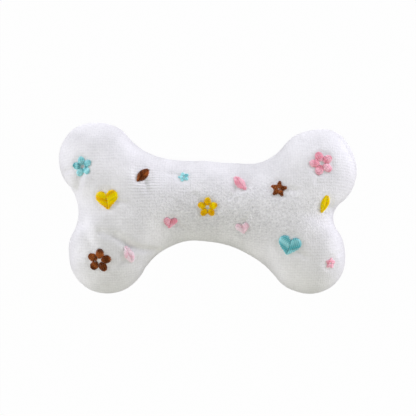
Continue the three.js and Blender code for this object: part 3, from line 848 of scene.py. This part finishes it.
# Embroidery: hearts, flowers, stars and leaves of shiny rayon thread. Each is a few blocks
# of satin stitch over a few underlay stitches, and every stitch dives into the cloth.
embroidery_thread_radius = 0.00021
thread_sides = 6
satin_pitch = 0.00042
satin_crown = 0.0006
full_crown_length = 0.003
underlay_pitch = 0.0009
underlay_share = 0.72
stitch_bury = 0.0004
stitch_wobble = 0.00009
# Stitches in one run of a random painted highlight
highlight_run = 2.4
shortest_stitch = 0.0006
needle_lift = 0.004
stitch_shares = np.array([0, 0.05, 0.2, 0.4, 0.6, 0.8, 0.95, 1])
heart_span = 17
heart_lean = math.radians(24)
leaf_width_share = 0.46
leaf_lean = math.radians(42)
flower_petals = 5
flower_waist_share = 0.55
flower_eye_share = 0.1
star_arms = 5
star_waist_share = 0.46
block_points = 24
stitch_chance = np.random.default_rng(11)


def heart_blocks():
    """Two halves that meet on the middle line. A block is an outline and its stitches' lean."""
    turn = np.linspace(0, math.pi, block_points)
    across = 16 * np.sin(turn) ** 3
    up = 13 * np.cos(turn) - 5 * np.cos(2 * turn) - 2 * np.cos(3 * turn) - np.cos(4 * turn)
    right = np.stack([across, up], axis=1) / heart_span
    return [(right, heart_lean), (right * (-1, 1), -heart_lean)]


def leaf_blocks():
    up = np.linspace(-1, 1, block_points)
    right = np.stack([leaf_width_share * (1 - up * up), up], axis=1)
    return [(right, leaf_lean), (right * (-1, 1), -leaf_lean)]


def turned_plan(points, angle):
    """Points turned clockwise in their plane."""
    return points @ np.array([[math.cos(angle), -math.sin(angle)], [math.sin(angle), math.cos(angle)]])


def star_blocks():
    """Five kites, each stitched straight across."""
    half = math.pi / star_arms
    side = star_waist_share * np.array([math.sin(half), math.cos(half)])
    kite = np.array([(0, 0), side * (-1, 1), (0, 1), side])
    turns = 2 * np.pi * np.arange(star_arms) / star_arms
    return [(turned_plan(kite, turn), -turn) for turn in turns]


def flower_blocks():
    """Five round petals about a small bare eye, each stitched straight across."""
    turn = np.linspace(-1, 1, block_points) * math.pi / flower_petals
    out = flower_waist_share + (1 - flower_waist_share) * np.cos(flower_petals * turn / 2)
    rim = np.stack([np.sin(turn) * out, np.cos(turn) * out], axis=1)
    petal = np.concatenate([[(0, flower_eye_share)], rim])
    turns = 2 * np.pi * np.arange(flower_petals) / flower_petals
    return [(turned_plan(petal, turn), -turn) for turn in turns]


motif_blocks = {
    "heart": heart_blocks(),
    "leaf": leaf_blocks(),
    "star": star_blocks(),
    "flower": flower_blocks(),
}


def stitch_lines(block, lean, pitch):
    """Parallel lines from edge to edge of a block, which lean by an angle."""
    level = turned_plan(block, lean)
    after = np.roll(level, -1, axis=0)
    lines = []
    for height in np.arange(level[:, 1].min() + pitch / 2, level[:, 1].max(), pitch):
        crossed = (level[:, 1] > height) != (after[:, 1] > height)
        start, end = level[crossed], after[crossed]
        share = (height - start[:, 1]) / (end[:, 1] - start[:, 1])
        stops = np.sort(start[:, 0] + share * (end[:, 0] - start[:, 0]))
        for first, last in zip(stops[::2], stops[1::2]):
            if last - first > shortest_stitch:
                ends = np.array([(first, height), (last, height)])
                lines.append(turned_plan(ends, -lean))
    return lines


def lay_stitch(line, motif, skin, crown):
    """A stitch between two points of a motif's plane, as points laid over the cloth."""
    middle, facing, right, up = motif
    length = np.linalg.norm(line[1] - line[0])
    wobble = stitch_chance.uniform(-stitch_wobble, stitch_wobble, (2, 2))
    line = line + wobble
    arch = np.sqrt(4 * stitch_shares * (1 - stitch_shares)) * min(1, length / full_crown_length)
    rise = embroidery_thread_radius / 2 + crown * arch
    rise[[0, -1]] = -stitch_bury
    points = []
    for share, height in zip(stitch_shares, rise):
        across, along = line[0] + (line[1] - line[0]) * share
        above = middle + right * across + up * along + facing * needle_lift
        spot = skin.ray_cast(Vector(above), Vector(-facing), 3 * needle_lift)[0]
        if spot is None:
            spot = skin.find_nearest(Vector(above - facing * needle_lift))[0]
        points.append(np.array(spot) + facing * height)
    return points


def node_group(name, surface, kinds, result):
    """A Geometry Nodes tree that takes a mesh and named inputs and gives one result."""
    tree = bpy.data.node_groups.new(name, "GeometryNodeTree")
    face = tree.interface
    face.new_socket(surface, in_out="INPUT", socket_type="NodeSocketGeometry")
    inputs = {
        key: face.new_socket(key, in_out="INPUT", socket_type=f"NodeSocket{kind}")
        for key, kind in kinds.items()
    }
    face.new_socket(result, in_out="OUTPUT", socket_type="NodeSocketGeometry")
    given = add_node(tree, "NodeGroupInput").outputs
    return tree, given, {key: socket.identifier for key, socket in inputs.items()}


def tube_along(tree, curve, ring):
    """A closed tube along a curve, with the ring as its section."""
    tube = {"Curve": curve.outputs[0], "Profile Curve": ring.outputs[0], "Fill Caps": True}
    return add_node(tree, "GeometryNodeCurveToMesh", tube).outputs[0]


def end_tree(tree, made, material):
    """Makes what the tree gives real and sets its material."""
    real = add_node(tree, "GeometryNodeRealizeInstances", {0: made}).outputs[0]
    dyed = add_node(tree, "GeometryNodeSetMaterial", {"Geometry": real, "Material": material})
    add_node(tree, "NodeGroupOutput", {0: dyed.outputs[0]})


def run_tree(piece, tree, inputs, values):
    """Runs a tree on the piece with these values, and makes the result the piece's mesh."""
    run = piece.modifiers.new(tree.name, "NODES")
    run.node_group = tree
    for key, value in values.items():
        run[inputs[key]] = value
    settle(piece)


def thread_tree():
    """Geometry Nodes that lay a round, twisted thread along each line of a mesh."""
    kinds = {"Thread radius": "Float", "Sides": "Int", "Thread": "Material"}
    tree, given, inputs = node_group("lay_thread", "Lines", kinds, "Thread")
    curve = add_node(tree, "GeometryNodeMeshToCurve", {"Mesh": given["Lines"]})
    length = add_node(tree, "GeometryNodeSplineParameter").outputs["Length"]
    curve = {"Geometry": curve.outputs[0], "Name": "along", "Value": length}
    curve = add_node(tree, "GeometryNodeStoreNamedAttribute", curve, data_type="FLOAT", domain="POINT")
    ring = {"Resolution": given["Sides"], "Radius": given["Thread radius"]}
    ring = add_node(tree, "GeometryNodeCurvePrimitiveCircle", ring, mode="RADIUS")
    place = add_node(tree, "GeometryNodeInputPosition").outputs[0]
    unit = {0: place, "Scale": calculate(tree, "DIVIDE", 1.0, given["Thread radius"])}
    unit = add_node(tree, "ShaderNodeVectorMath", unit, operation="SCALE")
    ring = {"Geometry": ring.outputs[0], "Name": "turn", "Value": unit.outputs[0]}
    ring = add_node(tree, "GeometryNodeStoreNamedAttribute", ring, data_type="FLOAT_VECTOR", domain="POINT")
    smooth = add_node(tree, "GeometryNodeSetShadeSmooth", {0: tube_along(tree, curve, ring)})
    end_tree(tree, smooth.outputs[0], given["Thread"])
    return tree, inputs


lay_thread, thread_inputs = thread_tree()


def threads_piece(name, lines, radius, thread):
    """One piece of thread laid along lines of points, each line with its own painted highlight, lighter or
    darker at random.
    """
    counts = [len(line) for line in lines]
    firsts = np.concatenate([[0], np.cumsum(counts)[:-1]])
    edges = [
        (first + step, first + step + 1)
        for first, count in zip(firsts, counts)
        for step in range(count - 1)
    ]
    piece = mesh_piece(name, np.concatenate(lines), edges=edges)
    # Runs of a few stitches get a random painted highlight, lighter or darker, as satin strands catch the
    # light differently
    stops = stitch_chance.uniform(0, 1, math.ceil(len(lines) / highlight_run) + 1)
    stitch_highlights = np.interp(np.arange(len(lines)) / highlight_run, np.arange(len(stops)), stops)
    shade = piece.data.attributes.new("shade", "FLOAT", "POINT")
    shade.data.foreach_set("value", np.repeat(stitch_highlights, counts))
    sizes = {"Thread radius": radius, "Sides": thread_sides, "Thread": thread}
    run_tree(piece, lay_thread, thread_inputs, sizes)
    return piece


ply_pitch = 0.0009
ply_shade_tones = (-0.15, 0.25)
highlight_weight = 1.1
ply_bump = 0.35
ply_groove_depth = 0.0001


def thread_material(name, dark, light, roughness, gloss):
    """Two-ply thread: a groove winds round it, bumped in and painted darker as shade, and stitches differ a
    little at random in a painted highlight.
    """
    material, tree = new_material(name)
    along = add_node(tree, "ShaderNodeAttribute", attribute_name="along").outputs["Fac"]
    turn = add_node(tree, "ShaderNodeAttribute", attribute_name="turn").outputs["Vector"]
    shade = add_node(tree, "ShaderNodeAttribute", attribute_name="shade").outputs["Fac"]
    wound = calculate(tree, "MULTIPLY", along, 2 * math.pi / ply_pitch)
    around = {"X": calculate(tree, "SINE", wound), "Y": calculate(tree, "COSINE", wound)}
    ply = add_node(tree, "ShaderNodeCombineXYZ", around).outputs[0]
    groove = calculate_place(tree, "DOT_PRODUCT", ply, turn, gives="Value")
    # Painted shade: the colour darkens where the ply groove sinks in and lightens on the plies' crests
    tone = spread(tree, groove, -1.0, 1.0, *ply_shade_tones, clamp=False)
    # Each run of stitches adds its random painted highlight to the colour
    tone = calculate(tree, "MULTIPLY_ADD", shade, highlight_weight, tone)
    shader = {
        "Base Color": two_tones(tree, tone, dark, light),
        "Normal": relief(tree, groove, ply_bump, ply_groove_depth),
        "Roughness": roughness,
        "Specular IOR Level": gloss,
        "Specular Tint": light,
    }
    finish_material(tree, shader)
    return material


# Each thread runs from a dark to a light copy of its dye: painted shade and painted highlight of the ply
# groove and the stitches
thread_colours = {
    "gold": thread_material("gold_thread", colour(234, 166, 0), colour(255, 234, 8), 0.3, 0.4),
    "aqua": thread_material("aqua_thread", colour(58, 168, 174), colour(186, 246, 246), 0.3, 0.5),
    "pink": thread_material("pink_thread", colour(236, 138, 156), colour(255, 206, 215), 0.3, 0.4),
    "pale_pink": thread_material("pale_pink_thread", colour(252, 196, 209), colour(255, 240, 243), 0.3, 0.4),
    "brown": thread_material("brown_thread", colour(56, 20, 4), colour(170, 96, 46), 0.35, 0.3),
}

for node_name, (middle, facing, tip, radius) in motif_places.items():
    words = node_name.split("_")
    shape, dye = words[-2], "_".join(words[1:-2])
    up = -tip if shape == "heart" else tip
    motif = (middle, facing, np.cross(up, facing), up)
    skin = front_skin if words[0] == "front" else back_skin
    stitches = []
    for block, lean in motif_blocks[shape]:
        block = block * radius
        inner = (block - block.mean(axis=0)) * underlay_share + block.mean(axis=0)
        for line in stitch_lines(inner, lean + math.pi / 2, underlay_pitch):
            stitches.append(lay_stitch(line, motif, skin, 0))
        for line in stitch_lines(block, lean, satin_pitch):
            stitches.append(lay_stitch(line, motif, skin, satin_crown))
    thread = thread_colours[dye]
    embroidered = threads_piece(f"{node_name}_stitches", stitches, embroidery_thread_radius, thread)
    join_toy(embroidered, node_name)


# Seam: a lockstitch through the two turned-in edges, with a needle thread on the front
# side and a bobbin thread on the back, which meet between the cloths at every stitch.
sewing_thread_radius = 0.00022
seam_thread_inset = 0.0032
seam_stitch_pitch = 0.0025
samples_per_stitch = 6
sewing_thread = thread_material("sewing_thread", colour(232, 232, 228), colour(250, 250, 247), 0.55, 0.3)

loop = tips + centring
along_loop = np.roll(loop, -1) - np.roll(loop, 1)
inset_loop = loop - 1j * along_loop / abs(along_loop) * seam_thread_inset
open_from = np.flatnonzero(upper_run.real > top_edge_start.real)[0]
open_to = np.flatnonzero(upper_run.real < top_edge_end.real)[-1]
sewn = np.concatenate([inset_loop[open_to:], inset_loop[: open_from + 1]])
stitch_count = round(np.abs(np.diff(sewn)).sum() / seam_stitch_pitch)
sewn = spaced_points(sewn, stitch_count * samples_per_stitch)
phase = np.arange(len(sewn)) % samples_per_stitch / samples_per_stitch
stitch_arch = np.sqrt(np.sin(math.pi * phase))
sewn_plan = np.stack([sewn.real, sewn.imag, np.zeros(len(sewn))], axis=1)

for piece_name, node_name, side in (
    ("seam_needle_stitches", "seam_needle_thread", 1),
    ("seam_bobbin_stitches", "seam_bobbin_thread", -1),
):
    line = sewn_plan.copy()
    reach_up = seam_gap + cloth_wall + sewing_thread_radius
    line[:, 2] = seam_height + seam_rise(line) + side * (sewing_thread_radius + reach_up * stitch_arch)
    seam_stitches = threads_piece(piece_name, [line], sewing_thread_radius, sewing_thread)
    join_toy(seam_stitches, node_name)


# Closing stitches: the gap in the seam along the straight far edge, where the toy was
# turned and stuffed, is sewn shut by hand. Short rungs cross the seam, and the thread
# runs on inside the cloth between them.
rung_pitch = 0.0025
rung_half_span = 0.0012
rung_lift = 0.00012
rung_bury = 0.0009
closing_low, closing_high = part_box("closing_thread")
rung_count = int((closing_high.x - closing_low.x) / rung_pitch)
rung_places = np.linspace(closing_low.x + rung_pitch / 2, closing_high.x - rung_pitch / 2, rung_count)


def edge_point(across, height, out):
    """A point of the far edge of the cloth, moved out of the cloth."""
    skin = front_skin if height > 0 else back_skin
    start = np.array([[across, closing_high.y, 0]])
    level = seam_height + seam_rise(start)[0] + height
    spot = skin.ray_cast(Vector((across, closing_high.y + rung_pitch, level)), Vector((0, -1, 0)))[0]
    return np.array(spot) + (0, out, 0)


closing_line = []
for number, across in enumerate(rung_places):
    side = 1 if number % 2 else -1
    over = [edge_point(across, side * span, rung_lift) for span in (rung_half_span, -rung_half_span)]
    under = [edge_point(across, side * span, -rung_bury) for span in (rung_half_span, -rung_half_span)]
    closing_line += [under[0], over[0], (over[0] + over[1]) / 2, over[1], under[1]]
closing_stitches = threads_piece("closing_stitches", [closing_line], sewing_thread_radius, sewing_thread)
join_toy(closing_stitches, "closing_thread")


# Backings: a cut-away sheet of non-woven interfacing behind each panel, which the motifs
# are stitched through so that the knit cloth doesn't pucker under them.
backing_thickness = 0.0004
backing_depth = 0.0019
backed_share = 0.866
backing_rib_step = 6
backing_ring_step = 3
backing_weld_reach = cloth_patch / 4
interfacing_grain = 0.0012
interfacing_relief = 0.0002
mottle_noise = {"Detail": 4.0, "Roughness": 0.6}
mottle_edges = (0.3, 0.7)
mottle_bump = 0.6


def mottled_material(name, dark, light, grain, relief_height, roughness, **shader_sizes):
    """A plain finish with a fine grain in its colour and surface."""
    material, tree = new_material(name)
    place = add_node(tree, "ShaderNodeTexCoord").outputs["Object"]
    grains = {"Vector": place, "Scale": 1 / grain} | mottle_noise
    grains = add_node(tree, "ShaderNodeTexNoise", grains).outputs[0]
    shader = {
        "Base Color": two_tones(tree, grains, dark, light, *mottle_edges),
        "Normal": relief(tree, grains, mottle_bump, relief_height),
        "Roughness": roughness,
    }
    finish_material(tree, shader | shader_sizes)
    return material


def weld(piece, reach):
    """Joins the points within reach of each other and turns the faces outwards."""
    editing = bmesh.new()
    editing.from_mesh(piece.data)
    bmesh.ops.remove_doubles(editing, verts=editing.verts, dist=reach)
    bmesh.ops.recalc_face_normals(editing, faces=editing.faces)
    editing.to_mesh(piece.data)
    editing.free()


interfacing = mottled_material(
    "interfacing", colour(214, 214, 212), colour(244, 244, 242), interfacing_grain, interfacing_relief, 0.9
)
backed_rings = np.flatnonzero(ring_shares[:, 0] <= backed_share)[::backing_ring_step]
backed_ribs = np.arange(0, len(tips), backing_rib_step)
backing_grid = np.array([[ring * len(tips) + rib for rib in backed_ribs] for ring in backed_rings])
for piece_name, velour_panel, skin, side in (
    ("front_backing_sheet", front_velour, front_skin, 1),
    ("back_backing_sheet", back_velour, back_skin, -1),
):
    points = []
    for point in dome_points[backing_grid.ravel()] * (1, 1, side) + upright * seam_height:
        spot, outward, _, _ = skin.find_nearest(Vector(point))
        points.append(np.array(spot - outward * backing_depth))
    backing = mesh_piece(piece_name, points, ring_faces(len(backed_rings), len(backed_ribs)))
    weld(backing, backing_weld_reach)
    divide(backing)
    thicken(backing, backing_thickness, 0)
    backing.data.materials.append(interfacing)
    # The sheet was cut flat, to its own ribs laid straight out from the spine
    rings = np.array(points).reshape(*backing_grid.shape, 3)
    laid_out = np.linalg.norm(np.diff(rings, axis=0), axis=2).sum(axis=0)
    rib_ways = reaches[backed_ribs] / abs(reaches[backed_ribs])
    cut = roots[backed_ribs] + rib_ways * laid_out
    cut_area = float(abs((cut.conj() * np.roll(cut, -1)).imag.sum()) / 2)
    join_toy(backing, piece_name.replace("backing_sheet", "embroidery_backing"))


# Stuffing: clumps of polyester batting, two in the shaft round the squeaker and one in
# each lobe. Each is a soft lump with loose curled fibres all over it.
batting_patch = 0.0013
batting_hollow = 0.0009
batting_lump = 0.004
fibre_radius = 0.00004
fibre_length = 0.006
fibre_density = 120000
fibre_seed = 5
fibre_turns = (0.3, 0.3, 6.2832)
fibre_half_share = 0.5
fibre_hump_share = 0.2
fibre_least_share = 0.5
fibre_most_share = 1.2
fibre_steps = 6
fibre_sides = 3
batting_softenings = 3
batting_grain = 0.0007
batting_relief = 0.0004
batting = mottled_material(
    "batting", colour(226, 225, 220), colour(250, 250, 247), batting_grain, batting_relief, 1.0
)


def fibre_tree():
    """Geometry Nodes that strew curled fibres over a surface, lying close along it."""
    sizes = {"Density": "Float", "Fibre length": "Float", "Fibre radius": "Float"}
    kinds = sizes | {"Seed": "Int", "Fibre": "Material"}
    tree, given, inputs = node_group("strew_fibres", "Surface", kinds, "Fibres")
    roots = {"Mesh": given["Surface"], "Density": given["Density"], "Seed": given["Seed"]}
    roots = add_node(tree, "GeometryNodeDistributePointsOnFaces", roots).outputs
    half = calculate(tree, "MULTIPLY", given["Fibre length"], fibre_half_share)
    hump = calculate(tree, "MULTIPLY", given["Fibre length"], fibre_hump_share)
    back = calculate(tree, "MULTIPLY", half, -1.0)
    start, middle, end = (
        add_node(tree, "ShaderNodeCombineXYZ", spot).outputs[0]
        for spot in ({"X": back}, {"Y": half, "Z": hump}, {"X": half})
    )
    bend = {"Resolution": fibre_steps, "Start": start, "Middle": middle, "End": end}
    bend = add_node(tree, "GeometryNodeCurveQuadraticBezier", bend)
    ring = {"Resolution": fibre_sides, "Radius": given["Fibre radius"]}
    ring = add_node(tree, "GeometryNodeCurvePrimitiveCircle", ring, mode="RADIUS")
    spin = {0: (0, 0, 0), 1: fibre_turns, "Seed": 1}
    spin = add_node(tree, "FunctionNodeRandomValue", spin, data_type="FLOAT_VECTOR").outputs[0]
    lie = {0: roots["Rotation"], 1: spin}
    lie = add_node(tree, "FunctionNodeRotateRotation", lie, rotation_space="LOCAL").outputs[0]
    size = {2: fibre_least_share, 3: fibre_most_share, "Seed": 2}
    size = add_node(tree, "FunctionNodeRandomValue", size, data_type="FLOAT").outputs[1]
    fibre = tube_along(tree, bend, ring)
    strewn = {"Points": roots["Points"], "Instance": fibre, "Rotation": lie, "Scale": size}
    strewn = add_node(tree, "GeometryNodeInstanceOnPoints", strewn)
    both = add_node(tree, "GeometryNodeJoinGeometry")
    tree.links.new(given["Surface"], both.inputs[0])
    tree.links.new(strewn.outputs[0], both.inputs[0])
    end_tree(tree, both.outputs[0], given["Fibre"])
    return tree, inputs


strew_fibres, fibre_inputs = fibre_tree()
for node_name in (
    "shaft_front_stuffing",
    "shaft_back_stuffing",
    "top_left_lobe_stuffing",
    "bottom_left_lobe_stuffing",
    "top_right_lobe_stuffing",
    "bottom_right_lobe_stuffing",
):
    cad_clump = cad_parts[node_name].data.copy()
    clump = bpy.data.objects.new(node_name.replace("stuffing", "batting"), cad_clump)
    clump.data.name = clump.name
    bpy.context.scene.collection.objects.link(clump)
    editing = bmesh.new()
    editing.from_mesh(clump.data)
    bmesh.ops.remove_doubles(editing, verts=editing.verts, dist=weld_reach)
    editing.to_mesh(clump.data)
    editing.free()
    remesh = clump.modifiers.new("even_patches", "REMESH")
    remesh.mode = "VOXEL"
    remesh.voxel_size = batting_patch
    softer = clump.modifiers.new("softer", "SMOOTH")
    softer.iterations = batting_softenings
    settle(clump)
    points = points_of(clump)
    hollow = batting_hollow * (1 + rough(points, batting_lump)) / 2
    move_points(clump, points - normals_of(clump) * hollow[:, None])
    sizes = {
        "Density": fibre_density,
        "Fibre length": fibre_length,
        "Fibre radius": fibre_radius,
        "Seed": fibre_seed,
        "Fibre": batting,
    }
    run_tree(clump, strew_fibres, fibre_inputs, sizes)
    clump.data.shade_smooth()
    join_toy(clump, node_name)


# Squeaker bladder: a blow-moulded soft plastic drum with one bellows fold round its side
# and a short neck on top that grips the whistle. It flattens when the shaft is pressed.
bladder_radius = 0.012
bladder_height = 0.012
bladder_wall = 0.0012
bladder_corner = 0.0025
fold_depth_in = 0.0014
fold_half_height = 0.0016
neck_radius = 0.006
neck_height = 0.0015
neck_bore = 0.0043
soft_round = 0.0009
turning_pieces = 64
round_steps = 4
turned_weld_reach = 1e-7
bladder_grain = 0.003
bladder_relief = 0.00005


def rounded(profile, radius, closed):
    """A profile with its corners rounded, except for its two ends where it isn't closed."""
    profile = np.array(profile)
    count = len(profile)
    made = []
    for number, corner in enumerate(profile):
        if not closed and number in (0, count - 1):
            made.append(corner)
            continue
        before = profile[number - 1] - corner
        after = profile[(number + 1) % count] - corner
        cut = min(radius, np.linalg.norm(before) / 2, np.linalg.norm(after) / 2)
        start = corner + before / np.linalg.norm(before) * cut
        end = corner + after / np.linalg.norm(after) * cut
        for share in np.linspace(0, 1, round_steps + 1):
            made.append((1 - share) ** 2 * start + 2 * share * (1 - share) * corner + share**2 * end)
    return np.array(made)


def turned_piece(name, profile, foot, closed):
    """A piece turned round an upright axis through foot, from radius and height pairs."""
    turn = 2 * np.pi * np.arange(turning_pieces) / turning_pieces
    rings = np.stack([np.outer(profile[:, 0], f(turn)) for f in (np.cos, np.sin)], axis=2)
    heights = np.repeat(profile[:, 1:], turning_pieces, axis=1)[:, :, None]
    points = np.concatenate([rings, heights], axis=2).reshape(-1, 3) + np.array(foot)
    piece = mesh_piece(name, points, ring_faces(len(profile), turning_pieces, closed))
    weld(piece, turned_weld_reach)
    piece.data.shade_smooth()
    return piece


def bladder_side(inset):
    straight = bladder_radius - inset
    middle = bladder_height / 2
    return [
        (bladder_radius - bladder_corner, inset),
        (straight, bladder_corner),
        (straight, middle - fold_half_height),
        (straight - fold_depth_in, middle),
        (straight, middle + fold_half_height),
        (straight, bladder_height - bladder_corner),
        (bladder_radius - bladder_corner, bladder_height - inset),
    ]


neck_top = bladder_height + neck_height
bladder_profile = [
    (0, 0),
    *bladder_side(0),
    (neck_radius, bladder_height),
    (neck_radius, neck_top),
    (neck_bore, neck_top),
    (neck_bore, bladder_height - bladder_wall),
    *bladder_side(bladder_wall)[::-1],
    (0, bladder_wall),
]
squeaker_foot = (squeaker_spot.x, squeaker_spot.y, squeaker_low.z)
soft_plastic = mottled_material(
    "bladder_plastic",
    colour(222, 229, 234),
    colour(238, 243, 246),
    bladder_grain,
    bladder_relief,
    0.32,
    **{"Transmission Weight": 0.25},
)
bladder = turned_piece("bladder", rounded(bladder_profile, soft_round, False), squeaker_foot, False)
bladder.data.materials.append(soft_plastic)
stand_for(bladder, "toy", "squeaker_bladder")
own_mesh(bladder)


# Whistle: a moulded plastic plug with a flange, pressed into the bladder's neck. A reed of
# thin film stands in its bore, clamped at the top between a half-round seat and a wedge.
stem_radius = 0.004
bore_radius = 0.0025
flange_radius = 0.0065
flange_thickness = 0.001
hard_round = 0.0002
whistle_grain = 0.0015
whistle_relief = 0.00003
film_grain = 0.002
film_relief = 0.00002
whistle_low, whistle_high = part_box("whistle_body")
stem_foot = whistle_low.z - squeaker_low.z
flange_top = whistle_high.z - squeaker_low.z
flange_under = flange_top - flange_thickness
whistle_profile = [
    (bore_radius, stem_foot),
    (stem_radius, stem_foot),
    (stem_radius, flange_under),
    (flange_radius, flange_under),
    (flange_radius, flange_top),
    (bore_radius, flange_top),
]
hard_plastic = mottled_material(
    "whistle_plastic", colour(236, 236, 228), colour(248, 248, 242), whistle_grain, whistle_relief, 0.4
)
whistle = turned_piece("whistle_plug", rounded(whistle_profile, hard_round, True), squeaker_foot, True)
whistle.data.materials.append(hard_plastic)
stand_for(whistle, "whistle", "whistle_body")

film = mottled_material(
    "reed_film",
    colour(206, 214, 218),
    colour(226, 232, 236),
    film_grain,
    film_relief,
    0.2,
    **{"Transmission Weight": 0.4},
)
for node_name, plastic in (("reed_seat", hard_plastic), ("reed_wedge", hard_plastic), ("reed", film)):
    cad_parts[node_name].data.materials.clear()
    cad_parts[node_name].data.materials.append(plastic)
